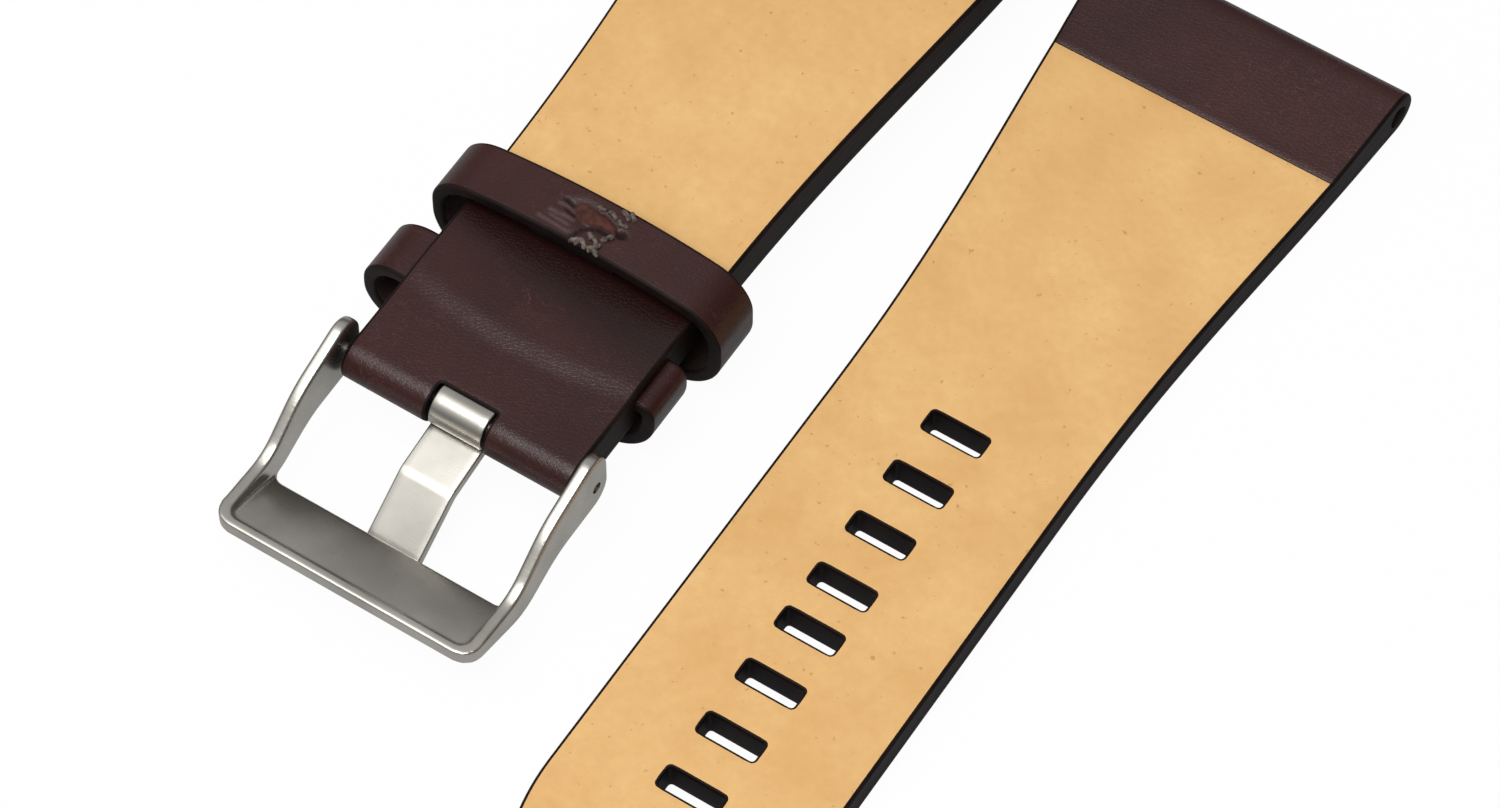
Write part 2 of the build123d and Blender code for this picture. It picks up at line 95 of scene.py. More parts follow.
def smooth_through(places, values, start_slope, end_slope):
    """Cubic curve through the values, with given slopes at its ends and no jump of curvature between."""
    places, values = np.array(places, float), np.array(values, float)
    step = np.diff(places)
    secant = np.diff(values) / step
    matrix = np.eye(len(places))
    right = np.zeros(len(places))
    right[0], right[-1] = start_slope, end_slope
    for i in range(1, len(places) - 1):
        matrix[i, i - 1 : i + 2] = step[i], 2 * (step[i - 1] + step[i]), step[i - 1]
        right[i] = 3 * (step[i] * secant[i - 1] + step[i - 1] * secant[i])
    slopes = np.linalg.solve(matrix, right)

    def curve(x):
        i = np.clip(np.searchsorted(places, x) - 1, 0, len(step) - 1)
        t = (x - places[i]) / step[i]
        rise = (1 + 2 * t) * (1 - t) ** 2 * values[i] + t**2 * (3 - 2 * t) * values[i + 1]
        return rise + step[i] * (t * (1 - t) ** 2 * slopes[i] + t**2 * (t - 1) * slopes[i + 1])

    return curve


flare = flare_length + nose_radius
flare_places = [nose_radius - a * flare for a in flare_reach_shares]
flare_widths = [tail_half_width + b * (lug_half_width - tail_half_width) for b in flare_width_shares]
start_slope = (flare_widths[1] - flare_widths[0]) / (flare_places[1] - flare_places[0])
flare_curve = smooth_through(flare_places[::-1], flare_widths[::-1], 0, start_slope)

tip_shoulder = tip_length - tip_reach
tip_arc = (tail_half_width**2 + tip_length**2) / (2 * tail_half_width)
tip_centre = tip_shoulder - math.sqrt((tip_arc - tip_radius) ** 2 - (tip_arc - tail_half_width) ** 2)
tip_cosine = (tip_arc - tail_half_width) / (tip_arc - tip_radius)
tip_touch = tip_centre - tip_radius * math.sqrt(1 - tip_cosine**2)
tip_end = tip_centre - tip_radius


def short_half_width(y):
    """Half the width from above: the flare's curve, then a parallel tail."""
    return np.where(y > -flare_length, flare_curve(np.clip(y, -flare_length, nose_radius)), tail_half_width)


def long_half_width(y):
    """The same flare and tail, and past the shoulder two arcs that meet in a rounded tip."""
    side_arc = tail_half_width - tip_arc + np.sqrt(np.clip(tip_arc**2 - (y - tip_shoulder) ** 2, 0, None))
    nib = np.sqrt(np.clip(tip_radius**2 - (y - tip_centre) ** 2, 0, None))
    return np.where(y < tip_touch, nib, np.where(y < tip_shoulder, side_arc, short_half_width(y)))


def corner_places(half, radius, middle):
    """Shares of a half length, from -1 to 1, close together where a corner is rounded."""
    near = -1 + radius / half * np.array([0.0, 0.13, 0.5, 1.0])
    return np.concatenate([near, np.linspace(near[-1], -near[-1], middle + 2)[1:-1], -near[::-1]])


def border(grid):
    """The outermost entries of a grid, once round."""
    return np.concatenate([grid[0, :-1], grid[:-1, -1], grid[-1, :0:-1], grid[:0:-1, 0]])


def hole_loop(half_s, half_x, radius, grow, rows, columns):
    """Points (x, s) round a rounded rectangle: a square border, its corners drawn in to their arcs."""
    grid_x, grid_s = np.meshgrid(columns * (half_x + grow), rows * (half_s + grow))
    loop_x, loop_s = border(grid_x), border(grid_s)
    radius = radius + grow
    core_x = np.clip(loop_x, radius - half_x - grow, half_x + grow - radius)
    core_s = np.clip(loop_s, radius - half_s - grow, half_s + grow - radius)
    out_x, out_s = loop_x - core_x, loop_s - core_s
    reach = np.maximum(np.hypot(out_x, out_s), 1e-9)
    return core_x + radius * out_x / reach, core_s + radius * out_s / reach


def stations(ends, steps, holes, hole_rows, margin):
    """Places along a path: evenly spaced from end to end, with each hole's own rows in its place."""
    counts = [max(2, round((b - a) / step) + 1) for a, b, step in zip(ends, ends[1:], steps)]
    runs = [np.linspace(a, b, count)[:-1] for a, b, count in zip(ends, ends[1:], counts)]
    s = np.concatenate([*runs, [ends[-1]]])
    for centre, half_s in holes:
        rows = centre + hole_rows * (half_s + margin)
        gap = (rows[1] - rows[0]) / 2
        s = np.concatenate([s[s < rows[0] - gap], rows, s[s > rows[-1] + gap]])
    return s


def quads_between(near, far):
    """Four-sided faces between two rings of point numbers, or between the rows of two grids of rings."""
    return np.stack([near, np.roll(near, -1, -1), np.roll(far, -1, -1), far], axis=-1)


def carry_sheet(outer, inner, width, s, round_outer, round_inner, hole, holes=(), wall_steps=2,
                first_share=None):
    """A sheet of even layers along a path.

    outer and inner are the lines of its two faces, as rows of (s, y, z), and width is half its width at
    each s. The cross-section at each s is a closed loop: outer face, rounded edge, inner face, edge.
    hole gives a hole's half length, half width, corner and margin and the grid's rows and columns round
    it. Holes leave out grid cells and are walled by rings that shrink from the cells' outline to the
    hole's. The third result is 0 for faces of the outer side, 1 for edges and 2 for the inner side.
    """
    side_step = 0.9
    thickness = np.interp(s, outer[:, 0], np.hypot(*(outer[:, 1:] - inner[:, 1:]).T))
    slope = np.gradient(width, s)
    normal_x, normal_s = 1 / np.hypot(1, slope), -slope / np.hypot(1, slope)

    def at(x, place, depth_share):
        faces = [np.interp(place, line[:, 0], line[:, k]) for line in (outer, inner) for k in (1, 2)]
        y = faces[0] + depth_share * (faces[2] - faces[0])
        z = faces[1] + depth_share * (faces[3] - faces[1])
        return np.stack([x, y, z], axis=-1)

    half_s, half_x, radius, margin, rows, columns = hole
    limit = np.minimum(half_x + margin, 0.6 * width)
    side_shares = np.linspace(0, 1, max(3, round((width.max() - half_x - margin) / side_step)) + 1)[1:]
    if first_share:
        side_shares = np.concatenate([[first_share], side_shares])
    centre_count = len(columns)

    def face(round_radius, depth_share):
        inset = np.minimum(round_radius, 0.5 * width)
        edge_x, edge_s = width - inset * normal_x, s - inset * normal_s
        middle = limit[:, None] * columns[None, :]
        right_x = limit[:, None] + side_shares[None, :] * (edge_x - limit)[:, None]
        right_s = s[:, None] + side_shares[None, :] * (edge_s - s)[:, None]
        x = np.concatenate([-right_x[:, ::-1], middle, right_x], axis=1)
        place = np.concatenate([right_s[:, ::-1], np.repeat(s[:, None], centre_count, 1), right_s], axis=1)
        return at(x, place, depth_share)

    def edge(side):
        turn = quarter_turn[1:]
        walls = np.linspace(0, 1, wall_steps + 1)[1:-1]
        parts = [(round_outer * (1 - math.sin(a)), 0, round_outer * (1 - math.cos(a))) for a in turn]
        parts += [(0, w, (1 - w) * round_outer - w * round_inner) for w in walls]
        parts += [(round_inner * (1 - math.sin(a)), 1, round_inner * (math.cos(a) - 1)) for a in turn[::-1]]
        points = []
        for inset, share, offset in parts:
            inset = np.minimum(inset, 0.5 * width)
            x, place = side * (width - inset * normal_x), s - inset * normal_s
            points.append(at(x, place, share + offset / thickness))
        return np.stack(points, axis=1)

    top, bottom = face(round_outer, 0.0), face(round_inner, 1.0)
    right, left = edge(1), edge(-1)
    loops = np.concatenate([top, right, bottom[:, ::-1], left[:, ::-1]], axis=1)
    count_s, around = loops.shape[:2]
    across = top.shape[1]
    edge_count = right.shape[1]
    verts = [loops.reshape(-1, 3)]
    index = np.arange(count_s * around).reshape(count_s, around)
    kept = np.ones((count_s - 1, around), bool)
    first = len(side_shares)
    last = first + centre_count - 1
    far_first = across + edge_count + (across - 1 - last)
    far_last = far_first + centre_count - 1
    rings, ring_zones = [], []
    total = count_s * around
    for centre in holes:
        row_places = centre + rows * (half_s + margin)
        r0, r1 = np.searchsorted(s, row_places[0] - 1e-6), np.searchsorted(s, row_places[-1] - 1e-6)
        kept[r0:r1, first:last] = False
        kept[r0:r1, far_first:far_last] = False
        chain = [border(index[r0 : r1 + 1, first : last + 1])]
        local = thickness[(r0 + r1) // 2]
        steps = [(0.0, 0.0), (0.0, 1.0)]
        if round_outer > round_inner:
            steps = [(grow, depth / local) for grow, depth in slot_lip] + [(0.0, 0.5), (0.0, 1.0)]
        for grow, share in steps:
            x, offset = hole_loop(half_s, half_x, radius, grow, rows, columns)
            ring = at(x, centre + offset, np.full(len(x), share))
            verts.append(ring)
            chain.append(np.arange(total, total + len(ring)))
            total += len(ring)
        chain.append(border(index[r0 : r1 + 1, far_first : far_last + 1][:, ::-1]))
        rings += [quads_between(a, b) for a, b in zip(chain, chain[1:])]
        ring_zones += [0] + [1] * (len(chain) - 3) + [2]

    zone = np.ones(around, int)
    zone[: across - 1] = 0
    zone[across + edge_count : 2 * across + edge_count - 1] = 2
    faces = [quads_between(index[:-1], index[1:])[kept], *rings]
    numbers = [np.repeat(zone[None, :], count_s - 1, 0)[kept]]
    numbers += [np.full(len(ring), paint) for ring, paint in zip(rings, ring_zones)]
    caps = []
    for row, forward in ((0, False), (count_s - 1, True)):
        loop = index[row]
        right_points = loop[across - 1 : across + edge_count + 1]
        left_points = np.concatenate([[loop[0]], loop[: -edge_count - 2 : -1]])
        strips = [list(loop[:across]) + [right_points[1], left_points[1]]]
        for k in range(1, len(right_points) - 2):
            strips.append([left_points[k], right_points[k], right_points[k + 1], left_points[k + 1]])
        bottom_points = list(loop[across + edge_count : 2 * across + edge_count])
        strips.append([left_points[-2], right_points[-2]] + bottom_points)
        caps += [strip if forward else strip[::-1] for strip in strips]
    all_faces = [list(q) for part in faces for q in part] + caps
    return np.concatenate(verts), all_faces, np.concatenate(numbers + [np.ones(len(caps), int)])


def outward(verts, faces):
    """The faces turned so that the volume they close, the sum of a . (b x c) over triangles, is positive."""
    volume = 0.0
    for face in faces:
        p = verts[list(face)]
        volume += np.sum(np.cross(p[1:-1], p[2:]) @ p[0])
    return faces if volume > 0 else [face[::-1] for face in faces]


def add_object(name, data):
    """A mesh, lamp or camera in the scene, at the origin."""
    thing = bpy.data.objects.new(name, data)
    bpy.context.scene.collection.objects.link(thing)
    return thing


def shade(mesh, sharp, zones=None):
    """Smooth faces but for edges sharper than an angle, each zone with the material of its number."""
    count = len(mesh.polygons)
    zones = np.zeros(count) if zones is None else zones
    mesh.polygons.foreach_set("material_index", zones.astype(np.int32))
    mesh.polygons.foreach_set("use_smooth", np.ones(count, bool))
    mesh.set_sharp_from_angle(angle=math.radians(sharp))
    mesh.update()


def add_piece(name, verts, faces, materials, zones=None, sharp=40):
    """Writes one mesh object in metres, its faces outwards, with a material for each zone of faces."""
    mesh = bpy.data.meshes.new(name)
    faces = [list(map(int, face)) for face in outward(verts, faces)]
    mesh.from_pydata((verts * millimetre).tolist(), [], faces)
    for material in materials:
        mesh.materials.append(material)
    shade(mesh, sharp, zones)
    return add_object(name, mesh)


def run_lengths(points):
    """Distance along a line of points from its first point to each."""
    return np.concatenate([[0], np.cumsum(np.linalg.norm(np.diff(points, axis=0), axis=1))])


def line_of(points, inner_points):
    """Rows of (s, y, z) for a sheet's two faces, with s measured along the outer one."""
    s = run_lengths(np.array(points, float))
    return np.column_stack([s, points]), np.column_stack([s, inner_points])


def y_along(line, s):
    """The y at each s of a line of (s, y, z) rows."""
    return np.interp(s, line[:, 0], line[:, 1])


def arc(centre, radius, start, end, count):
    """Points of a circle between two angles in degrees."""
    turn = np.radians(np.linspace(start, end, count))
    return np.column_stack([centre[0] + radius * np.cos(turn), centre[1] + radius * np.sin(turn)])


def eased_end(y, height, size, toward):
    """Three points of a cut end's eased corner: size below the face at y, on the face size further on."""
    places = np.array([0, 0.05, size])
    return np.column_stack([y + toward * places, height - places[::-1]])


def tangent_angle(reach, height, radius):
    """Angle at which a line from (-reach, height) touches the top of a circle round the origin."""
    return math.degrees(math.atan2(height, -reach) - math.acos(radius / math.hypot(reach, height)))


def nose_lines(height):
    """Outer and inner faces: the flap's eased end, a straight run to the tangent point, the turn."""
    under = height - lining_thickness
    lines = []
    for z, radius in ((height, nose_radius), (under, tunnel_radius)):
        turned = arc((0, 0), radius, tangent_angle(flap_length, z, radius), -90, 40)
        run = np.linspace((0.5 - flap_length, z), turned[0], 20)[:-1]
        lines.append(np.concatenate([eased_end(-flap_length, z, end_ease, 1), run, turned]))
    lines[1][:3, 1] = under
    return lines


def add_node(tree, kind, values, **settings):
    """A node with its settings; each input gets a plain value or another node's output."""
    node = tree.nodes.new(kind)
    for name, value in settings.items():
        setattr(node, name, value)
    for name, value in values.items():
        if isinstance(value, bpy.types.NodeSocket):
            tree.links.new(value, node.inputs[name])
        else:
            node.inputs[name].default_value = value
    return node


def noise(tree, vector, scale, detail=3.0, roughness=0.5, distortion=0.0):
    """Noise between 0 and 1, with scale in waves to the metre and detail in octaves."""
    values = {"Scale": scale, "Detail": detail, "Roughness": roughness, "Distortion": distortion}
    return add_node(tree, "ShaderNodeTexNoise", {"Vector": vector, **values}).outputs["Fac"]


def spread(tree, value, low, high, to_low=0.0, to_high=1.0):
    """Maps a value from one range to another and keeps it there."""
    ends = {"From Min": low, "From Max": high, "To Min": to_low, "To Max": to_high}
    return add_node(tree, "ShaderNodeMapRange", {"Value": value, **ends}).outputs["Result"]


def patches(tree, vector, scale, detail, low, high, roughness=0.5, most=1.0):
    """Noise that is 0 below low and most above high, so that it lies in patches."""
    return spread(tree, noise(tree, vector, scale, detail, roughness), low, high, 0.0, most)


def combine(tree, operation, *values):
    """One math operation on numbers or outputs."""
    return add_node(tree, "ShaderNodeMath", dict(enumerate(values)), operation=operation).outputs["Value"]


def mix_colour(tree, amount, first, second):
    """Colour between two, the second one at amount 1; a plain colour is a tuple of red, green and blue."""
    first, second = ((*c, 1) if isinstance(c, tuple) else c for c in (first, second))
    colours = {6: first, 7: second}
    return add_node(tree, "ShaderNodeMix", {"Factor": amount, **colours}, data_type="RGBA").outputs[2]


def attribute(tree, name):
    """A mesh attribute as a mask."""
    return add_node(tree, "ShaderNodeAttribute", {}, attribute_name=name).outputs["Fac"]


def new_material(name, roughness, specular=0.5, metallic=0.0):
    """A material with plain numbers on its shader's own sockets, its node tree and its Object coordinates."""
    material = bpy.data.materials.new(name)
    material.use_nodes = True
    tree = material.node_tree
    for label, value in (("Roughness", roughness), ("Specular IOR Level", specular), ("Metallic", metallic)):
        tree.nodes["Principled BSDF"].inputs[label].default_value = value
    return material, tree, tree.nodes.new("ShaderNodeTexCoord").outputs["Object"]


def wired(material, colour, height, distance, strength, rough=None):
    """Links colour and roughness to the shader, and a height in shares of a distance in metres as bump."""
    tree = material.node_tree
    shader = tree.nodes["Principled BSDF"]
    bump = add_node(tree, "ShaderNodeBump", {"Height": height, "Distance": distance, "Strength": strength})
    tree.links.new(bump.outputs["Normal"], shader.inputs["Normal"])
    tree.links.new(colour, shader.inputs["Base Color"])
    if rough is not None:
        tree.links.new(rough, shader.inputs["Roughness"])
    return material


def leather_grain_group():
    """Calf grain: fine cells, pores and soft folds in one height, with clouds and thin scuffs as masks."""
    group = bpy.data.node_groups.new("leather grain", "ShaderNodeTree")
    group.interface.new_socket("Vector", in_out="INPUT", socket_type="NodeSocketVector")
    for label, value in (("Cells", 2600.0), ("Folds", 210.0)):
        group.interface.new_socket(label, in_out="INPUT", socket_type="NodeSocketFloat").default_value = value
    for label in ("Height", "Cloud", "Scuff"):
        group.interface.new_socket(label, in_out="OUTPUT", socket_type="NodeSocketFloat")
    inside = group.nodes.new("NodeGroupInput").outputs
    vector = inside["Vector"]
    values = {"Vector": vector, "Scale": inside["Cells"]}
    cells = add_node(group, "ShaderNodeTexVoronoi", values, feature="DISTANCE_TO_EDGE")
    crease = spread(group, cells.outputs["Distance"], 0.0, 0.12)
    pores = combine(group, "MULTIPLY", noise(group, vector, 9000.0, 2.0), 0.3)
    folds = noise(group, vector, inside["Folds"], 4.0)
    height = combine(group, "MULTIPLY_ADD", folds, 3.2, combine(group, "MULTIPLY_ADD", crease, 0.35, pores))
    hairs = noise(group, vector, 420.0, 4.0, 0.55, 2.2)
    from_middle = combine(group, "ABSOLUTE", combine(group, "SUBTRACT", hairs, 0.5))
    thin = spread(group, from_middle, 0.0, 0.012, 1.0, 0.0)
    scuff = combine(group, "MULTIPLY", thin, patches(group, vector, 190.0, 3.0, 0.45, 0.66, most=0.7))
    results = {"Height": height, "Cloud": noise(group, vector, 70.0), "Scuff": scuff}
    add_node(group, "NodeGroupOutput", results)
    return group


leather_grain = leather_grain_group()


def calf_colour(tree, vector, deep, raised, scuffed):
    """The grain's height, and the dye: from deep to raised in clouds, and scuffed along the scuffs."""
    grain = add_node(tree, "ShaderNodeGroup", {"Vector": vector}, node_tree=leather_grain).outputs
    colour = mix_colour(tree, spread(tree, grain["Cloud"], 0.35, 0.65), deep, raised)
    return grain["Height"], mix_colour(tree, grain["Scuff"], colour, scuffed)


def dark_leather(name, deep, raised, roughness, painted_shadow=""):
    """Dyed and waxed calf: smoother on the grain's high parts, and darkened as a painted shadow where the
    attribute named by its last argument is 1.
    """
    material, tree, vector = new_material(name, roughness, 0.38)
    height, colour = calf_colour(tree, vector, deep, raised, tuple(2.6 * c + 0.012 for c in raised))
    # Painted shadow: where the attribute is 1, the colour is darkened to 0.55 of deep in place of the sliding
    # keeper's shade on the flap.
    if painted_shadow:
        colour = mix_colour(tree, attribute(tree, painted_shadow), colour, tuple(0.55 * c for c in deep))
    rough = spread(tree, height, 0.4, 1.3, roughness + 0.07, roughness - 0.05)
    return wired(material, colour, height, 0.00005, 0.55, rough)


def painted_edge():
    """Edge paint: nearly black, satin, with slight waves from the brush."""
    material, tree, vector = new_material("edge_paint", 0.55, 0.13)
    tone = patches(tree, vector, 250.0, 2.0, 0.35, 0.65)
    colour = mix_colour(tree, tone, (0.006, 0.003, 0.0028), (0.013, 0.0065, 0.0058))
    return wired(material, colour, noise(tree, vector, 900.0), 0.00006, 0.5)


calf_deep, calf_raised = (0.028, 0.0066, 0.0054), (0.041, 0.0108, 0.0090)
calf = dark_leather("dark_calf", calf_deep, calf_raised, 0.36)
flesh = dark_leather("flesh_side", (0.016, 0.006, 0.005), (0.028, 0.011, 0.008), 0.8)
edge_paint = painted_edge()

slot_rows = corner_places(slot_half_width, slot_corner, 2)
slot_columns = corner_places(slot_half_length, slot_corner, 7)
slot_shape = (slot_half_width, slot_half_length, slot_corner, slot_margin, slot_rows, slot_columns)


def slotted(line, ends, steps, first=0):
    """Stations of a layer of the long half, with its slots' places.

    Slots and tip are found by their reach on the line from row first on. Past the point where the tip's
    round begins, at s_touch, the steps follow s_touch + radius * (sin(angle) - sin(start)).
    """
    slots = [float(np.interp(reach, -line[first:, 1], line[first:, 0])) for reach in slot_reaches]
    touch = float(np.interp(-tip_touch, -line[first:, 1], line[first:, 0]))
    s = stations([*ends, touch], steps, [(c, slot_half_width) for c in slots], slot_rows, slot_margin)
    start = math.asin((tip_centre - tip_touch) / tip_radius)
    angle = np.linspace(start, math.radians(88), 10)
    return np.concatenate([s[:-1], touch + tip_radius * (np.sin(angle) - math.sin(start))]), slots


nose_outer, nose_inner = nose_lines(seam_height)
outer_line, inner_line = line_of(
    np.vstack([nose_outer, (tip_end, -nose_radius)]), np.vstack([nose_inner, (tip_end, -tunnel_radius)])
)
floor_row = len(nose_outer) - 1
floor_s = outer_line[floor_row, 0]
nose_start = floor_s - math.radians(tangent_angle(flap_length, seam_height, nose_radius) + 90) * nose_radius
s, slots = slotted(outer_line, [0, 0.15, nose_start, floor_s], [0.05, 0.7, 0.35, 0.9], floor_row)
width = long_half_width(y_along(outer_line, s))
verts, faces, zones = carry_sheet(outer_line, inner_line, width, s, edge_round, flush, slot_shape, slots)
piece = add_piece("hole_half_leather", verts, faces, [calf, edge_paint, flesh], zones)
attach(piece, "hole_half")
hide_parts("hole_half_outer")

# Filler board of the long half: pressed board that gives the flare its body, hollowed at the lug end to
# close the spring-bar tunnel. Only its painted edges show.
lip_angle = 20.0
tail_height = 0.9
taper_length = 34.0


def tunnel_lip(under):
    """End (y, z) of a board's thin lip: on its top, lip_angle past where that would touch the tunnel."""
    angle = math.radians(tangent_angle(flap_length, under, tunnel_radius))
    touch_y, touch_z = tunnel_radius * math.cos(angle), tunnel_radius * math.sin(angle)
    lip_y = tunnel_radius * math.cos(angle + math.radians(lip_angle))
    return lip_y, touch_z + (under - touch_z) * (lip_y - touch_y) / (-flap_length - touch_y)


def concave_end(end, centre, radius, toward):
    """Draws a board's square end back to the round wall of a tunnel, with its thin lips cut off."""
    lip = radius * math.cos(math.radians(lip_angle))
    height = np.clip(end[:, 2] - centre[1], -lip, lip)
    end[:, 1] = centre[0] + toward * np.sqrt(radius**2 - height**2)


def board_lines(above):
    """A board's top, and under it the front leather's flat inner side."""
    return line_of(above, np.column_stack([above[:, 0], np.full(len(above), -tunnel_radius)]))


taper_end = -flap_length - taper_length
under_flap = seam_height - lining_thickness
under_tail = tail_height - lining_thickness
top_line, bottom_line = board_lines(np.array(
    [tunnel_lip(under_flap), (-flap_length, under_flap), (taper_end, under_tail), (tip_end, under_tail)]
))
s, slots = slotted(top_line, [0, 1.0, 12], [1.0, 1.0, 0.9])
width = long_half_width(y_along(top_line, s))
verts, faces, zones = carry_sheet(
    top_line, bottom_line, width, s, flush, flush, slot_shape, slots, wall_steps=8
)
around = int(np.argmax(verts[:, 1] < verts[0, 1] - 0.5))
concave_end(verts[:around], (0, 0), tunnel_radius, -1)
piece = add_piece("hole_half_board", verts, faces, [edge_paint])
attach(piece, "hole_half")
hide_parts("hole_half_filler")

# Lining of the long half: undyed tan leather glued on the back, from the flap's end to the tip, with its
# cut edges painted together with the other layers.
lining_ease = 0.16


def tan_leather():
    """Undyed split leather: pale tan with soft clouds, fine fibres and a few brown flecks."""
    material, tree, vector = new_material("tan_lining", 0.78, 0.25)
    cloud = patches(tree, vector, 110.0, 4.0, 0.3, 0.7, 0.6)
    mottle = patches(tree, vector, 900.0, 4.0, 0.3, 0.7, 0.65)
    fleck = patches(tree, vector, 1400.0, 2.0, 0.70, 0.76)
    colour = mix_colour(tree, cloud, (0.74, 0.43, 0.165), (0.84, 0.53, 0.225))
    colour = mix_colour(tree, combine(tree, "MULTIPLY", mottle, 0.35), colour, (0.66, 0.36, 0.125))
    colour = mix_colour(tree, combine(tree, "MULTIPLY", fleck, 0.5), colour, (0.36, 0.17, 0.06))
    fibres = noise(tree, vector, 3200.0, 4.0, 0.7)
    return wired(material, colour, fibres, 0.00004, 0.5)


tan = tan_leather()
start = eased_end(-flap_length, seam_height, lining_ease, -1)
top = np.vstack([start, (taper_end, tail_height), (tip_end, tail_height)])
under = np.array([(-flap_length, under_flap)] * 3 + [(taper_end, under_tail), (tip_end, under_tail)])
top_line, bottom_line = line_of(top, under)
s, slots = slotted(top_line, [0, 0.2, 20], [0.05, 0.9, 0.9])
width = long_half_width(y_along(top_line, s))
verts, faces, zones = carry_sheet(top_line, bottom_line, width, s, edge_round, flush, slot_shape, slots)
piece = add_piece("hole_half_tan_lining", verts, faces, [tan, edge_paint, tan], zones)
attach(piece, "hole_half")
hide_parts("hole_half_lining")

# Outer leather of the short half: the same calf in one piece. A flap turns over the lug end, the sheet
# makes the front, folds round the buckle's spring bar and comes back as a long flap that ends at the
# lining. The fold is notched for the tongue, and the flap lies in a soft swell over the keeper's ends.
short_place = np.array([-35.8, -3.9, 5.6])
bar_reach = 72.3
bar_hole_radius = 0.95
fold_radius = bar_hole_radius + leather_thickness
back_height = 2 * fold_radius - nose_radius
bar_height = fold_radius - nose_radius
seam_reach = 51.7
tongue_half_width = 2.7
tongue_curl_radius = 2.08
notch_half_width = tongue_half_width + 0.35
notch_front = 2.8
notch_back = 0.62
notch_corner = 0.3
notch_margin = 0.9
skive_radius = tongue_curl_radius + 0.06
swell_height = 0.34
swell_start, swell_top = 54.5, 63.4
swell_brow, swell_foot = 63.6, 66.4
swell_bow = 1.5
swell_side_loss = 0.45
# Painted shadow of the sliding keeper on the back flap: its reach, its lean across the strap, and how far it
# fades before and past that reach.
painted_shadow_reach, painted_shadow_lean = 59.2, 0.25
painted_shadow_before, painted_shadow_past = 2.6, 2.8

nose_outer, nose_inner = nose_lines(back_height)
bar = (-bar_reach, bar_height)
under_flap = back_height - leather_thickness
flap_outer = eased_end(-seam_reach, back_height, end_ease, -1)[::-1]
flap_inner = np.column_stack([flap_outer[:, 0], np.full(3, under_flap)])
outer_line, inner_line = line_of(
    np.concatenate([nose_outer, arc(bar, fold_radius, 270, 90, 70), flap_outer]),
    np.concatenate([nose_inner, arc(bar, bar_hole_radius, 270, 90, 70), flap_inner]),
)
floor_s = outer_line[len(nose_outer) - 1, 0]
fold_start = floor_s + bar_reach
fold_end = fold_start + math.pi * fold_radius
whole = outer_line[-1, 0]
notch_centre = (fold_start - notch_front + fold_end + notch_back) / 2
notch_half = (fold_end + notch_back - fold_start + notch_front) / 2
notch_rows = corner_places(notch_half + notch_margin, notch_corner + notch_margin, 44)
notch_columns = corner_places(notch_half_width + notch_margin, notch_corner + notch_margin, 9)
notch_shape = (notch_half, notch_half_width, notch_corner, notch_margin, notch_rows, notch_columns)
nose_start = floor_s - math.radians(tangent_angle(flap_length, back_height, nose_radius) + 90) * nose_radius
ends = [0, 0.15, nose_start, floor_s, fold_start - 6, whole - 0.2, whole]
steps = [0.05, 0.8, 0.35, 0.9, 0.4, 0.05]
s = stations(ends, steps, [(notch_centre, notch_half)], notch_rows, notch_margin)


def smooth_step(value, low, high):
    """0 below low, 1 above high, and the cubic 3t^2 - 2t^3 between them."""
    share = np.clip((value - low) / (high - low), 0, 1)
    return share * share * (3 - 2 * share)


def swell(verts):
    """Lifts the back flap: a slow rise over the keeper's ends, then a short fall that bows to the fold."""
    side = np.clip(np.abs(verts[:, 0]) / tail_half_width, 0, 1)
    along = -verts[:, 1] + swell_bow * side**2
    wave = smooth_step(along, swell_start, swell_top) - smooth_step(along, swell_brow, swell_foot)
    on_flap = (along > seam_reach - 1) & (verts[:, 2] > under_flap - 0.05)
    verts[:, 2] += np.where(on_flap, swell_height * wave * (1 - swell_side_loss * side**4), 0)


def skive(verts):
    """Thins the notch's lip from below, so that it lies on the tongue's curl."""
    away = verts[:, 1:] - bar
    reach = np.hypot(*away.T)
    near = (np.abs(verts[:, 0]) < notch_half_width + 0.3) & (away[:, 0] > 0) & (away[:, 1] > 0.5)
    near &= reach < skive_radius
    verts[near, 1:] = bar + away[near] * (skive_radius / reach[near])[:, None]


def paint(piece, name, values):
    """Writes one number for each point of a piece, as an attribute that its material reads."""
    layer = piece.data.attributes.new(name, "FLOAT", "POINT")
    layer.data.foreach_set("value", values.astype(np.float32))


width = short_half_width(y_along(outer_line, s))
verts, faces, zones = carry_sheet(
    outer_line, inner_line, width, s, edge_round, flush, notch_shape, [notch_centre]
)
skive(verts)
swell(verts)
# Painted shadow of the sliding keeper: 1 on the back flap from the seam to just in front of the keeper, then
# fading out towards the fold.
reach = painted_shadow_reach + painted_shadow_lean * np.clip(verts[:, 0], -8, 8)
painted_shadow = 1 - smooth_step(-verts[:, 1], reach - painted_shadow_before, reach + painted_shadow_past)
painted_shadow *= (verts[:, 2] > 0) & (-verts[:, 1] > seam_reach - 0.3)
flap_calf_painted_shadow = dark_leather("flap_calf_painted_shadow", calf_deep, calf_raised, 0.36, "painted_shadow")
piece = add_piece("buckle_half_leather", verts + short_place, faces, [flap_calf_painted_shadow, edge_paint, flesh], zones)
paint(piece, "painted_shadow", painted_shadow)
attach(piece, "buckle_half")
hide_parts("buckle_half_outer")

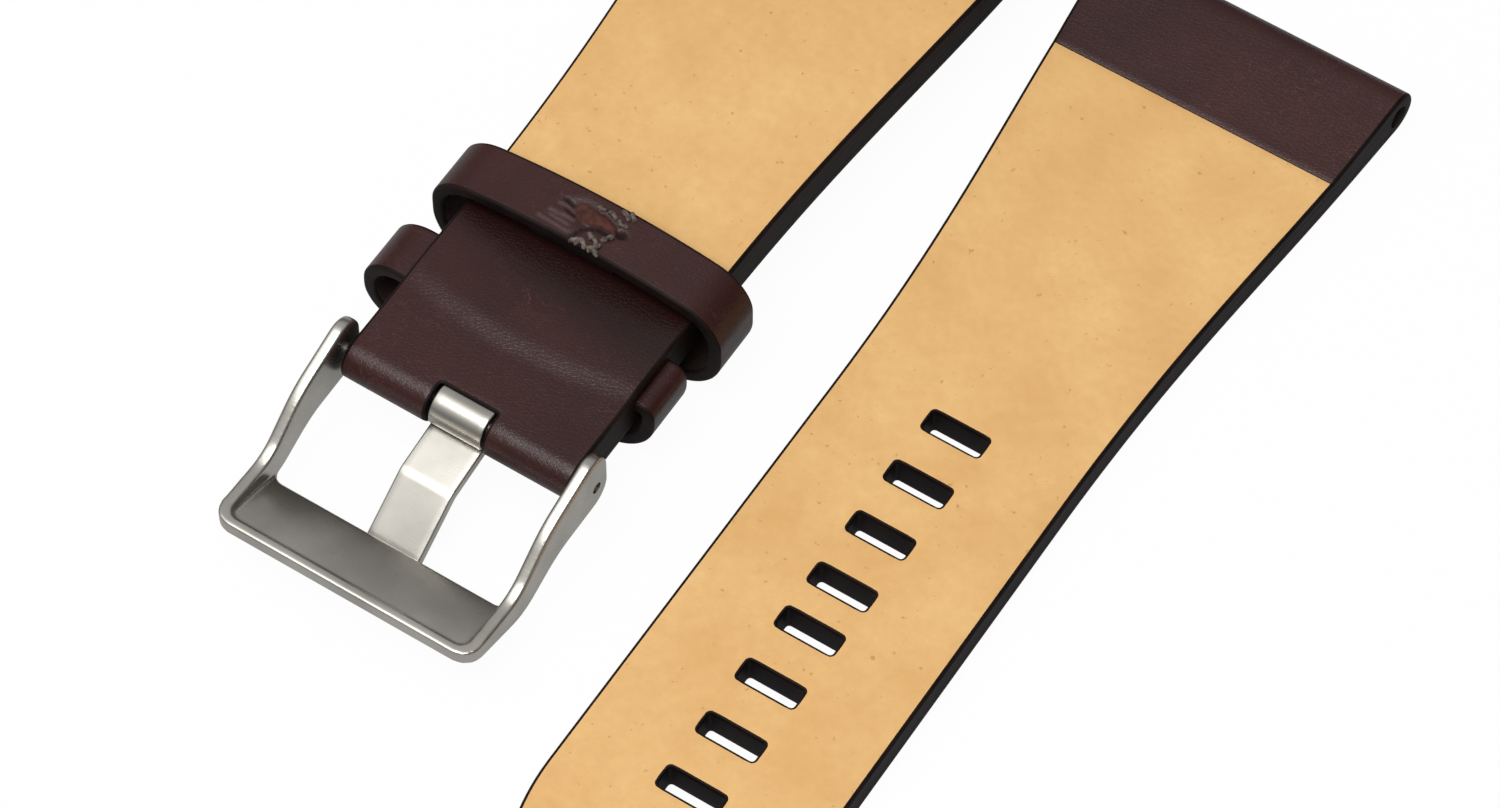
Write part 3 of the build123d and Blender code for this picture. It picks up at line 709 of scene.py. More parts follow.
# Filler board of the short half, between the front and both flaps. It is hollowed for the tunnel and for
# the spring bar, notched for the tongue, and let in at both sides for the fixed keeper's ends.
keeper_width = 5.7
keeper_thickness = 1.3
keeper_tuck = 5.0
fixed_keeper_reach = 60.9
seat_gap = 0.02
under_lining = back_height - lining_thickness
mouth = bar_hole_radius * math.cos(math.radians(90 - lip_angle))
above = np.array([
    tunnel_lip(under_lining),
    (-flap_length, under_lining),
    (-seam_reach, under_lining),
    (-seam_reach - seat_gap, under_flap),
    (mouth - bar_reach, under_flap),
])
top_line, bottom_line = board_lines(above)
pocket_inner = tail_half_width - keeper_tuck - seat_gap
pocket_half = keeper_width / 2 + seat_gap
pocket_floor = under_flap - keeper_thickness - 2 * seat_gap
notch_end = bar_reach - notch_front
column_places = np.array([0, 1.5, notch_half_width, notch_half_width + seat_gap, 5.0, pocket_inner])
board_columns = np.concatenate([-column_places[:0:-1], column_places]) / pocket_inner
board_shape = (1.0, pocket_inner - 1, notch_corner, 1.0, board_columns, board_columns)
walls = [seam_reach + seat_gap, fixed_keeper_reach - pocket_half, fixed_keeper_reach + pocket_half, notch_end]
walls = np.array([[wall - seat_gap, wall] for wall in walls]).ravel()
board_rows = np.concatenate([
    -above[:1, 0], np.arange(1.6, seam_reach - 0.2, 0.9), walls, [57, 60, 62, 65, 67.5, 70.6], -above[-1:, 0],
])
s = np.interp(np.sort(board_rows), -above[:, 0], top_line[:, 0])


def let_in(verts):
    """Lowers the top in the two pockets, and draws the end back to the notch between its sides."""
    in_pocket = np.abs(-verts[:, 1] - fixed_keeper_reach) < pocket_half - seat_gap / 2
    in_pocket &= np.abs(verts[:, 0]) > pocket_inner + seat_gap / 2
    share = (verts[:, 2] + tunnel_radius) / (under_flap + tunnel_radius)
    verts[:, 2] = np.where(in_pocket, share * (pocket_floor + tunnel_radius) - tunnel_radius, verts[:, 2])
    past = np.clip(-verts[:, 1] - notch_end, 0, None)
    in_notch = np.abs(verts[:, 0]) < notch_half_width + seat_gap / 2
    verts[:, 1] += np.where(in_notch, past * 0.995, 0)


width = short_half_width(y_along(top_line, s))
verts, faces, zones = carry_sheet(
    top_line, bottom_line, width, s, flush, flush, board_shape, wall_steps=8, first_share=0.004
)
around = len(verts) // len(s)
concave_end(verts[:around], (0, 0), tunnel_radius, -1)
concave_end(verts[-around:], bar, bar_hole_radius, 1)
let_in(verts)
piece = add_piece("buckle_half_board", verts + short_place, faces, [edge_paint])
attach(piece, "buckle_half")
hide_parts("buckle_half_filler")

# Lining of the short half: the same tan leather, glued on the board. It fills the space between the lug
# flap and the back flap, and its ends are eased where they meet them.
start = eased_end(-flap_length, back_height, lining_ease, -1)
end = eased_end(-seam_reach, back_height, lining_ease, 1)[::-1]
top = np.concatenate([start, end])
top_line, bottom_line = line_of(top, np.column_stack([top[:, 0], np.full(len(top), under_lining)]))
whole = top_line[-1, 0]
s = stations([0, 0.25, whole - 0.25, whole], [0.05, 0.9, 0.05], [], slot_rows, 0)
width = short_half_width(y_along(top_line, s))
verts, faces, zones = carry_sheet(top_line, bottom_line, width, s, edge_round, flush, slot_shape)
piece = add_piece("buckle_half_tan_lining", verts + short_place, faces, [tan, edge_paint, tan], zones)
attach(piece, "buckle_half")
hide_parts("buckle_half_lining")

# Fixed keeper: a calf band that goes round the front and leaves room for the tail of the long half. Its
# two ends lie under the back flap, tight on the right and in a loose bow on the left.
floor_height = -nose_radius
fixed_top = short_place[2] + under_flap - seat_gap
fixed_left, fixed_right = -53.1, -21.8
fixed_radius = 4.0
fixed_tight_radius = 1.45
fixed_low_radius = 6.6
keeper_round = 0.3


def rounded_line(points, radii, step=6.0):
    """A line whose corners are arcs that touch both of its runs, as points about step degrees apart."""
    points = [np.array(p, float) for p in points]
    parts = [[points[0]]]
    for before, corner, after, radius in zip(points, points[1:], points[2:], radii):
        a, b = before - corner, after - corner
        a, b = a / np.hypot(*a), b / np.hypot(*b)
        half = math.acos(np.clip(a @ b, -1, 1)) / 2
        centre = corner + (a + b) / np.hypot(*(a + b)) * radius / math.sin(half)
        start = corner + a * radius / math.tan(half) - centre
        turn = math.pi - 2 * half
        end = -np.sign(a[0] * b[1] - a[1] * b[0]) * turn
        angles = np.linspace(0, end, max(3, int(math.degrees(turn) / step) + 2))
        x = start[0] * np.cos(angles) - start[1] * np.sin(angles)
        y = start[0] * np.sin(angles) + start[1] * np.cos(angles)
        parts.append(centre + np.column_stack([x, y]))
    return np.concatenate([*parts, [points[-1]]])


def even_steps(line, step, closed=False):
    """Points along a line, about one step apart."""
    line = np.concatenate([line, line[:1]]) if closed else line
    s = run_lengths(line)
    places = np.linspace(0, s[-1], int(s[-1] / step) + 1)
    places = places[:-1] if closed else places
    return np.column_stack([np.interp(places, s, line[:, 0]), np.interp(places, s, line[:, 1])])


def right_of(line, closed=False):
    """Unit vectors to the right of a line, whose direction at a point comes from the points beside it."""
    ahead = np.roll(line, -1, 0) - np.roll(line, 1, 0) if closed else np.gradient(line, axis=0)
    ahead /= np.hypot(*ahead.T)[:, None]
    return np.column_stack([ahead[:, 1], -ahead[:, 0]])


def tube(points):
    """A grid of rings as one closed solid: its points, the faces between its rings, and two end caps."""
    count, around = points.shape[:2]
    index = np.arange(count * around).reshape(count, around)
    faces = [list(q) for q in quads_between(index[:-1], index[1:]).reshape(-1, 4)]
    return points.reshape(-1, 3), faces + [list(index[0][::-1]), list(index[-1])]


def carry_band(line, thickness, half_width, roundness, closed, across_steps, crown=0.0):
    """A band of even thickness carried along a line that is its outer face.

    The cross-section is a rounded rectangle: half_width to each side, thickness to the line's right, with
    its outer face raised in the middle by crown. Zones are 0 outside, 1 on the edges and 2 inside.
    """
    shares = np.linspace(-1, 1, across_steps + 1)
    flat = half_width - roundness
    corner_a = flat + roundness * np.sin(quarter_turn)
    corner_d = roundness * (1 - np.cos(quarter_turn))
    wall = np.linspace(roundness, thickness - roundness, 4)[1:-1]
    a = np.concatenate([flat * shares, corner_a[1:], [half_width] * len(wall), corner_a[::-1],
                        flat * shares[-2::-1], -corner_a[1:], [-half_width] * len(wall), -corner_a[:0:-1]])
    d = np.concatenate([np.zeros(len(shares)), corner_d[1:], wall, thickness - corner_d[::-1],
                        np.full(across_steps, thickness), thickness - corner_d[1:], wall[::-1],
                        corner_d[:0:-1]])
    d = d - crown * (1 - (a / half_width) ** 2) * (d < thickness / 2)
    points = line[:, None, :] + right_of(line, closed)[:, None, :] * d[None, :, None]
    points = np.stack([points[..., 0], np.broadcast_to(a, points.shape[:2]), points[..., 1]], axis=-1)
    edge_faces = 2 * len(corner_a) - 1 + len(wall)
    zone = np.ones(len(a), int)
    zone[:across_steps] = 0
    zone[across_steps + edge_faces : 2 * across_steps + edge_faces] = 2
    verts, faces = tube(points)
    if closed:
        index = np.arange(len(verts)).reshape(len(line), -1)
        faces[-2:] = [list(q) for q in quads_between(index[-1], index[0])]
        return verts, faces, np.tile(zone, len(line))
    return verts, faces, np.append(np.tile(zone, len(line) - 1), [1, 1])


tuck = tail_half_width - keeper_tuck
outline = rounded_line(
    [(short_place[0] - tuck, fixed_top), (fixed_left, fixed_top), (fixed_left, floor_height),
     (fixed_right, floor_height), (fixed_right, fixed_top), (short_place[0] + tuck, fixed_top)],
    [fixed_radius, fixed_radius, fixed_low_radius, fixed_tight_radius],
)
outline = even_steps(outline, 0.35)[::-1]
verts, faces, zones = carry_band(outline, keeper_thickness, keeper_width / 2, keeper_round, False, 14)
verts[:, 1] += short_place[1] - fixed_keeper_reach
piece = add_piece("fixed_keeper_band", verts, faces, [calf, edge_paint, flesh], zones)
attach(piece, "buckle_half")
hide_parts("fixed_keeper")

# Sliding keeper: a closed calf band round the whole strap, crowned on the back. Its under end lies inside
# the crown, and the lapped end on top shows as a raw red-brown tongue with a small hole at its tip.
slide_y = -56.0
slide_half = 15.3
slide_side_top = 9.3
slide_crown = 10.9
slide_radius = 4.6
slide_low_radius = 6.4
slide_bulge = 0.4
slide_steps = 30
lap_x = -36.6
lap_half = 4.5
lap_inset = 0.45
crown_rise = slide_crown - slide_side_top
crown_radius = (slide_half**2 + crown_rise**2) / (2 * crown_rise)
crown_centre = slide_crown - crown_radius

raw_outline = [(-2.3, 0.9), (-1.55, 1.3), (-0.4, 1.15), (0.9, 1.0), (1.95, 0.6), (2.5, 0.1), (2.1, -0.17),
               (0.98, -0.12), (0.17, -0.38), (-0.62, -0.5), (-1.45, -0.2), (-2.0, 0.34)]
hole_spot, hole_size = (2.95, 0.25), (0.42, 0.33)
pull_lines = [(-3.97, -0.9, -1.5, -0.85), (-4.5, -1.95, -1.25, -2.15), (-3.6, 0.1, -2.2, 0.35),
              (-2.6, -0.75, -1.5, -0.7), (-3.6, -1.35, -1.6, -1.5)]
cut_lines = [(-0.73, -2.3, -0.36, -1.2), (-0.36, -1.2, 0.2, -0.6), (0.2, -0.6, 1.0, -0.34),
             (1.0, -0.34, 2.1, -0.36), (-3.3, 0.86, -2.3, 0.6), (-2.6, -0.05, -1.75, -0.25)]
bed_depth, bed_reach, raw_rise = 0.17, 0.5, 0.20
hole_depth, pull_depth, cut_depth, line_width = 0.6, 0.07, 0.26, 0.17


def closed_outline():
    """Rounded rectangle whose top side is a flat arc, with upper corners that touch the side and the arc."""
    corner_x = slide_half - slide_radius
    corner_z = crown_centre + math.sqrt((crown_radius - slide_radius) ** 2 - corner_x**2)
    lean = math.degrees(math.atan2(corner_z - crown_centre, corner_x))
    low_x, low_z = slide_half - slide_low_radius, floor_height + slide_low_radius
    line = np.concatenate([
        arc((-low_x, low_z), slide_low_radius, 180, 270, 40),
        arc((low_x, low_z), slide_low_radius, 270, 360, 40),
        arc((corner_x, corner_z), slide_radius, 0, lean, 40),
        arc((0, crown_centre), crown_radius, lean, 180 - lean, 80)[1:-1],
        arc((-corner_x, corner_z), slide_radius, 180 - lean, 180, 40),
    ])
    line[:, 0] += short_place[0] - slide_bulge * np.clip(-line[:, 0] / slide_half, 0, 1) ** 3
    return line


def run_distance(x, y, start, end):
    """Distance of each point from the straight run between two points."""
    run = np.array([end[0] - start[0], end[1] - start[1]])
    share = np.clip(((x - start[0]) * run[0] + (y - start[1]) * run[1]) / (run @ run), 0, 1)
    return np.hypot(x - start[0] - share * run[0], y - start[1] - share * run[1])


def outside_polygon(x, y, corners):
    """Signed distance from a polygon's outline, positive outside: a point inside crosses it an odd number
    of times on the way out."""
    inside = np.zeros(x.shape, bool)
    away = []
    for a, b in zip(corners, corners[1:] + corners[:1]):
        away.append(run_distance(x, y, a, b))
        crossing_x = a[0] + (y - a[1]) * (b[0] - a[0]) / (b[1] - a[1])
        inside ^= ((a[1] > y) != (b[1] > y)) & (x < crossing_x)
    return np.where(inside, -np.min(away, axis=0), np.min(away, axis=0))


def near_runs(x, y, runs):
    """1 on any of the straight runs, falling to 0 beside them as exp of minus the squared distance."""
    away = np.min([run_distance(x, y, run[:2], run[2:]) for run in runs], axis=0)
    return np.exp(-((away / line_width) ** 2))


def lap_relief(x, y):
    """Height and masks of the lap: a tongue lying in a shallow bed, a hole, cuts and pulled grain. The dark
    mask is where the hole and the cuts get painted shade.
    """
    away = outside_polygon(x, y, raw_outline)
    raw = 1 - smooth_step(away, -0.15, 0.12)
    bed = np.exp(-((np.clip(away, 0, None) / bed_reach) ** 2))
    from_hole = ((x - hole_spot[0]) / hole_size[0]) ** 2 + ((y - hole_spot[1]) / hole_size[1]) ** 2
    hole = np.exp(-(from_hole**1.5))
    pulled, cut = near_runs(x, y, pull_lines), near_runs(x, y, cut_lines)
    height = raw_rise * raw * smooth_step(x, -3.0, 1.6) - bed_depth * bed
    height -= hole_depth * hole + pull_depth * pulled + cut_depth * cut
    return height, {"raw": raw, "dark": np.maximum(hole, cut), "pulled": pulled}


def keeper_leather():
    """The same calf, with the lap's raw red-brown flesh, paler pulled grain, and the hole and cuts darkened
    as painted shade, by attribute.
    """
    material, tree, vector = new_material("keeper_calf", 0.36, 0.38)
    height, colour = calf_colour(tree, vector, calf_deep, calf_raised, (0.12, 0.04, 0.035))
    raw, dark, pulled = (attribute(tree, name) for name in ("raw", "dark", "pulled"))
    colour = mix_colour(tree, combine(tree, "MULTIPLY", pulled, 0.4), colour, (0.13, 0.09, 0.085))
    red = patches(tree, vector, 1500.0, 4.0, 0.35, 0.65)
    raw_colour = mix_colour(tree, red, (0.040, 0.010, 0.006), (0.088, 0.026, 0.017))
    colour = mix_colour(tree, raw, colour, raw_colour)
    # Painted shade: the hole and the cuts along the tongue's edge are coloured nearly black.
    colour = mix_colour(tree, dark, colour, (0.008, 0.003, 0.003))
    worn = spread(tree, combine(tree, "MAXIMUM", raw, dark), 0.0, 0.6, 0.36, 0.85)
    return wired(material, colour, height, 0.00005, 0.55, worn)


outline = even_steps(closed_outline(), 0.22, closed=True)[::-1]
verts, faces, zones = carry_band(
    outline, keeper_thickness, keeper_width / 2, keeper_round, True, slide_steps
)
height, marks = lap_relief(verts[:, 0] - short_place[0], verts[:, 1])
rings = verts[:, 2].reshape(len(outline), -1)
on_crown = rings > slide_side_top - 0.6
on_crown[:, slide_steps + 5 : -4] = False
on_crown = on_crown.ravel()
verts[:, 2] += height * on_crown
verts[:, 1] += slide_y
piece = add_piece("sliding_keeper_band", verts, faces, [keeper_leather(), edge_paint, flesh], zones)
for name, values in marks.items():
    paint(piece, name, values * on_crown)
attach(piece, "sliding_loop")
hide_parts("sliding_keeper")


def crown_height(x):
    """Height of the crown's circle at a distance x from the strap's middle."""
    return crown_centre + np.sqrt(crown_radius**2 - x**2)


under_line = even_steps(np.array([(lap_x - lap_half, 0.0), (lap_x + lap_half, 0.0)]), 0.3)
under_line[:, 1] = crown_height(under_line[:, 0] - short_place[0]) - keeper_thickness
under_half = keeper_width / 2 - lap_inset
verts, faces, zones = carry_band(under_line, keeper_thickness - 0.02, under_half, keeper_round, False, 14)
verts[:, 1] += slide_y
piece = add_piece("sliding_keeper_under_end", verts, faces, [calf, edge_paint, flesh], zones)
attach(piece, "sliding_loop")

# Thread of the lap: grey-beige waxed two-ply thread. The seam is frayed, and twelve short runs stand out of
# the leather round the raw tongue. Each is given by points along X and Y and above the crown.
thread_radius = 0.24
thread_lift = 0.9
ply_turn = 0.55
thread_runs = [
    [(-0.7, -2.84, -0.3), (-0.2, -2.5, 0.1), (0.25, -2.3, 0.06), (0.6, -2.15, -0.1)],
    [(-0.1, -2.85, -0.3), (0.2, -2.3, 0.14), (0.7, -2.45, 0.14), (1.0, -2.8, -0.25)],
    [(0.35, -1.2, -0.12), (0.65, -1.35, 0.1), (1.0, -1.45, 0.1), (1.35, -1.3, -0.12)],
    [(0.75, -1.75, -0.1), (1.15, -1.55, 0.12), (1.5, -1.75, 0.12), (1.75, -2.1, -0.1)],
    [(1.75, -1.35, -0.1), (2.05, -1.0, 0.12), (2.3, -0.65, 0.14), (2.5, -0.4, -0.1)],
    [(1.35, -2.86, -0.3), (1.55, -2.45, 0.14), (1.9, -2.05, 0.14), (2.05, -1.6, -0.1)],
    [(1.1, -2.5, -0.05), (1.6, -2.6, 0.1), (2.05, -2.65, 0.08), (2.4, -2.85, -0.25)],
    [(0.75, 1.66, -0.12), (1.05, 1.6, 0.12), (1.4, 1.5, 0.12), (1.7, 1.36, -0.1)],
    [(1.95, 1.45, -0.1), (2.3, 1.15, 0.12), (2.65, 1.05, 0.12), (3.0, 1.2, -0.12)],
    [(1.6, 2.4, -0.08), (2.0, 2.3, 0.1), (2.45, 2.05, 0.1), (2.8, 1.85, -0.1)],
    [(2.45, 2.8, -0.25), (2.7, 2.45, 0.06), (3.0, 2.2, 0.04), (3.25, 2.0, -0.15)],
    [(-0.5, 1.68, -0.12), (-0.15, 1.7, -0.02), (0.2, 1.68, -0.02), (0.5, 1.64, -0.14)],
]


def curve_through(points, count):
    """Smooth line through the points, each piece a cubic whose slopes come from the points beside it."""
    padded = np.concatenate([[2 * points[0] - points[1]], points, [2 * points[-1] - points[-2]]])
    t = np.linspace(0, len(points) - 1, count)
    i = np.minimum(t.astype(int), len(points) - 2)
    u = (t - i)[:, None]
    p0, p1, p2, p3 = (padded[i + k] for k in range(4))
    return 0.5 * (2 * p1 + (p2 - p0) * u + (2 * p0 - 5 * p1 + 4 * p2 - p3) * u**2
                  + (3 * p1 - p0 - 3 * p2 + p3) * u**3)


def strand(points, count=26, around=10):
    """A two-ply thread: a tube whose section has two lobes that turn as they go, closed at its ends."""
    line = curve_through(points, count)
    ahead = np.gradient(line, axis=0)
    ahead /= np.linalg.norm(ahead, axis=1)[:, None]
    side = np.cross(ahead, [0, 0, 1.0])
    side /= np.linalg.norm(side, axis=1)[:, None]
    up = np.cross(side, ahead)
    length = run_lengths(line)[:, None]
    angle = np.linspace(0, 2 * math.pi, around, endpoint=False)
    end = np.sqrt(np.clip(1 - (2 * length / length[-1] - 1) ** 8, 0.02, 1))
    lobes = 1 + 0.16 * np.cos(2 * angle[None, :] - 2 * math.pi * length / ply_turn)
    ring = side[:, None, :] * np.cos(angle)[None, :, None] + up[:, None, :] * np.sin(angle)[None, :, None]
    return tube(line[:, None, :] + (thread_radius * end * lobes)[..., None] * ring)


def joined(solids):
    """Several (points, faces) as one, each with its faces outwards and counted on from the ones before."""
    verts, faces = np.zeros((0, 3)), []
    for more, more_faces in solids:
        faces += [[k + len(verts) for k in face] for face in outward(more, more_faces)]
        verts = np.concatenate([verts, more])
    return verts, faces


def waxed_thread():
    """Grey-beige thread with a fuzz of fibres and dirt from the dye."""
    material, tree, vector = new_material("waxed_thread", 0.7, 0.3)
    dirt = patches(tree, vector, 1800.0, 3.0, 0.35, 0.65)
    colour = mix_colour(tree, dirt, (0.035, 0.022, 0.018), (0.19, 0.15, 0.125))
    return wired(material, colour, noise(tree, vector, 12000.0, 2.0), 0.00005, 0.8)


strands = []
for run in thread_runs:
    x, y, lift = np.array(run).T
    z = crown_height(x) + lift * thread_lift
    strands.append(strand(np.column_stack([x + short_place[0], y + slide_y, z])))
verts, faces = joined(strands)
piece = add_piece("keeper_thread", verts, faces, [waxed_thread()], sharp=70)
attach(piece, "sliding_loop")
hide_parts("keeper_stitches")

# Tongue of the buckle: a steel strip curled round the spring bar, kinked down and bent up again along the
# plate, with its edges tumbled and its tip rounded.
bar_place = short_place + [0, -bar_reach, bar_height]
tongue_thickness = 1.1
tongue_inner = 0.98
tongue_edge = 0.2
strip_half_width = 2.8
tongue_tip_corner = 1.2
tip_run = 1.3
curl_end_angle = 206.0
curl_end_run = 0.24
strip_drop = math.radians(10.5)
strip_length = 6.75
tongue_foot = (-12.2, -6.0)
tongue_tip = (-17.9, -3.73)


def rounded_off(past, radius):
    """How far a corner's arc lies inside its square corner, at a place past the arc's start."""
    past = np.clip(past, 0, radius)
    return radius - np.sqrt(np.clip(radius**2 - past**2, 0, None))


def brushed_steel(name, base, streak_axis, roughness):
    """Satin steel: fine scratches that run one way and soft clouds of polish."""
    material, tree, vector = new_material(name, roughness, metallic=1.0)
    scale = [0.06 if k == streak_axis else 1.0 for k in range(3)]
    drawn = add_node(tree, "ShaderNodeMapping", {"Scale": scale, "Vector": vector})
    fine = noise(tree, drawn.outputs["Vector"], 9000.0, 3.0, 0.6)
    tone = patches(tree, vector, 160.0, 3.0, 0.38, 0.64)
    colour = mix_colour(tree, tone, base, tuple(c * 0.82 for c in base))
    rough = combine(tree, "MULTIPLY_ADD", fine, 0.1, roughness - 0.05)
    return wired(material, colour, fine, 0.000004, 0.4, rough)


strip_start = np.array([math.sin(strip_drop), -math.cos(strip_drop)]) * tongue_inner
tongue_kink = strip_start - strip_length * np.array([math.cos(strip_drop), math.sin(strip_drop)])
strip_upper = rounded_line([strip_start, tongue_kink, tongue_foot, tongue_tip], [1.4, 0.8], step=4.0)
strip_upper = even_steps(strip_upper, 0.12)
strip_lower = strip_upper - tongue_thickness * right_of(strip_upper)
curl_start = math.degrees(strip_drop) - 90
curl_upper = arc((0, 0), tongue_inner, curl_end_angle, curl_start, 90)
curl_lower = arc((0, 0), tongue_inner + tongue_thickness, curl_end_angle, curl_start, 90)
outer_line, inner_line = line_of(
    np.concatenate([curl_lower, strip_lower[1:]]), np.concatenate([curl_upper, strip_upper[1:]])
)
whole = outer_line[-1, 0]
s = np.concatenate([
    np.linspace(0, curl_end_run, 4),
    np.linspace(curl_end_run, whole - tip_run, 150)[1:],
    whole - tip_run * np.cos(np.linspace(0, math.pi / 2, 12))[1:],
])
width = strip_half_width - rounded_off(tongue_tip_corner - (whole - s), tongue_tip_corner)
width -= rounded_off(tongue_edge - s, tongue_edge)
strip_shape = (1.0, 1.0, 0.3, 0.0, np.linspace(-1, 1, 5), np.linspace(-1, 1, 5))
verts, faces, zones = carry_sheet(
    outer_line, inner_line, width, s, tongue_edge, tongue_edge, strip_shape, wall_steps=3
)
buckle_steel = brushed_steel("buckle_steel_brushed", (0.61, 0.585, 0.53), 0, 0.29)
piece = add_piece("tongue_strip", verts + bar_place, faces, [buckle_steel], sharp=50)
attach(piece, "tongue")
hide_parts("buckle_tongue")

# Buckle frame: one steel casting. Two flat arms bow down from the spring bar to a dished plate with a thin
# rim on its far side, and all of it is tumbled, so that its edges are soft.
arm_inner = 12.5
arm_outer = 13.77
frame_reach = 19.9
plate_start = 12.6
rim_thickness = 1.0
frame_corner = 2.0
tray_corner = 1.0
window_corner = 1.2
arm_ease = 0.28
rim_ease = 0.22
pin_hole_radius = 0.58
casting_grain = 0.13
rim_top = (-frame_reach, -1.45)
rim_foot = (-frame_reach, -3.0)
arm_top = [(-12.119, -1.89), (-7.084, 2.025)]
arm_end = [(1.8, 4.85), (1.8, -2.6)]
arm_bottom = [(-6.05, -2.79), (-11.642, -5.315)]
side_radii = [4.5, 10.0, 2.2, 2.2, 8.0, 5.0]
side_line = rounded_line([rim_top, *arm_top, *arm_end, *arm_bottom, rim_foot], side_radii, step=5.0)
bottom_start = int(np.argmax(side_line[:, 0]))
bottom_line = side_line[bottom_start:][::-1]
top_side = side_line[: bottom_start + 1]


def corner_y(x):
    """Where the rim's outer face lies at x: straight, then round the corner."""
    return -frame_reach + rounded_off(np.abs(x) - (arm_outer - frame_corner), frame_corner)


def dish_height(y):
    """Height of the hollow: on the circle through three measured points, the half on which they lie."""
    points = np.array([(-plate_start, -4.15), (-15.75, -2.95), (-18.9, -2.0)])
    matrix = np.column_stack([2 * points, np.ones(3)])
    centre_y, centre_z, rest = np.linalg.solve(matrix, (points**2).sum(1))
    radius = math.sqrt(rest + centre_y**2 + centre_z**2)
    side = -1 if centre_z > points[1, 1] else 1
    return centre_z + side * np.sqrt(radius**2 - (y - centre_y) ** 2)


def tube_across(x, y, z):
    """A closed solid of rings that stand across X, ring i at x[i] with the points y[i], z[i]."""
    return tube(np.stack([np.broadcast_to(x[:, None], y.shape), y, z], axis=-1))


def arm_solid(side):
    """The side view's outline between two planes, with its edges eased, cut by the rim's corner."""
    line = even_steps(side_line, 0.3, closed=True)
    back, ease = arm_ease * (1 - np.sin(quarter_turn)), arm_ease * (1 - np.cos(quarter_turn))
    between = np.linspace(arm_inner + arm_ease, arm_outer - arm_ease, 7)[1:-1]
    x = np.concatenate([arm_inner + back[::-1], between, arm_outer - back])
    inset = np.concatenate([ease[::-1], np.zeros(len(between)), ease])
    points = line[None, :, :] + inset[:, None, None] * right_of(line, closed=True)[None, :, :]
    y = np.maximum(points[..., 0], corner_y(x)[:, None] + inset[:, None])
    return tube_across(side * x, y, points[..., 1])


def plate_solid():
    """Sections of the plate across X: dish, wall, rim and underside, bent round the three plan corners."""
    plate_half, middle_half = arm_outer - 0.3, 11.2
    ends = -plate_half + (plate_half - middle_half) * np.linspace(0, 1, 12)
    x = np.concatenate([ends, np.linspace(-middle_half, middle_half, 30)[1:-1], -ends[::-1]])
    wall = -frame_reach + rim_thickness + rounded_off(np.abs(x) - (arm_inner - tray_corner), tray_corner)
    window = -plate_start + rounded_off(np.abs(x) - (arm_inner - window_corner), window_corner)
    rim = corner_y(x)
    share = np.linspace(0, 1, 22)[None, :]
    dish_y = window[:, None] + (wall - window)[:, None] * share
    bottom_y = rim[:, None] + (window - rim)[:, None] * share
    bottom_z = np.interp(bottom_y, bottom_line[:, 0], bottom_line[:, 1])
    rim_y = np.column_stack([wall, wall - 0.02, wall - 0.1, rim + rim_ease, rim + 0.07, rim, rim])
    rim_drop = np.array([0.2, 0.1, 0, 0, 0.07, rim_ease, 0.9])
    rim_z = np.interp(rim_y, top_side[:, 0], top_side[:, 1]) - rim_drop
    y = np.concatenate([dish_y, rim_y, bottom_y], axis=1)
    z = np.concatenate([dish_height(dish_y), rim_z, bottom_z], axis=1)
    return tube_across(x, y, z)


def pin_solid(radius, half_length, around=40):
    """A round bar along X, the drill for the pin holes."""
    angle = np.linspace(0, 2 * math.pi, around, endpoint=False)
    ring = np.column_stack([np.zeros(around), radius * np.cos(angle), radius * np.sin(angle)])
    return tube(np.stack([ring - [half_length, 0, 0], ring + [half_length, 0, 0]]))


def finish_with(piece, kind, **settings):
    """Adds one modifier, applies it to the mesh and removes it."""
    modifier = piece.modifiers.new(kind.lower(), kind)
    for name, value in settings.items():
        setattr(modifier, name, value)
    done = bpy.data.meshes.new_from_object(piece.evaluated_get(bpy.context.evaluated_depsgraph_get()))
    piece.modifiers.remove(modifier)
    piece.data = done


verts, faces = joined([arm_solid(-1), arm_solid(1), plate_solid()])
frame_piece = add_piece("buckle_casting", verts + bar_place, faces, [buckle_steel])
finish_with(frame_piece, "REMESH", mode="VOXEL", voxel_size=casting_grain * millimetre, use_smooth_shade=True)
verts, faces = pin_solid(pin_hole_radius, arm_outer + 1)
drill = add_piece("drill", verts + bar_place, faces, [buckle_steel])
finish_with(frame_piece, "SMOOTH", factor=0.5, iterations=12)
finish_with(frame_piece, "BOOLEAN", operation="DIFFERENCE", object=drill, solver="EXACT")
bpy.data.objects.remove(drill)
shade(frame_piece.data, 70)
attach(frame_piece, "buckle")
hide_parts("buckle_frame")

# Spring bar: turned steel barrel with a plunger at each end and a coil spring between them. The pins stand
# in the frame's holes, and the rest lies inside the fold.
bar_steel = brushed_steel("turned_steel", (0.50, 0.49, 0.47), 1, 0.34)
for node in ("spring_bar_barrel", "spring_bar_left_plunger", "spring_bar_right_plunger", "spring_bar_spring"):
    materials = bpy.data.objects[node].data.materials
    materials.clear()
    materials.append(bar_steel)

# The room: a pale floor under the strap, white to the camera but with the strap's own soft shadow, white
# walls that are a soft gradient to the strap, and one large lamp overhead.
floor_half = 4.0
# The floor's plain white: its share in the camera's rays and in reflections, and its strength in those.
floor_white = 0.965
floor_gloss = 0.7
floor_glow = 0.34
# Towards the bright ceiling that the steel and the leather reflect.
ceiling_tilt = (-0.25, -0.21, 0.945)
window_place = (-20.0, -274.0, 602.0)
window_target_y = -50.0
window_size = 350.0
window_power = 2.3


def seen_straight(tree):
    """The rays' kinds, and 1 for those that come straight from the camera or through glass."""
    path = tree.nodes.new("ShaderNodeLightPath").outputs
    return path, combine(tree, "MAXIMUM", path["Is Camera Ray"], path["Is Transmission Ray"])


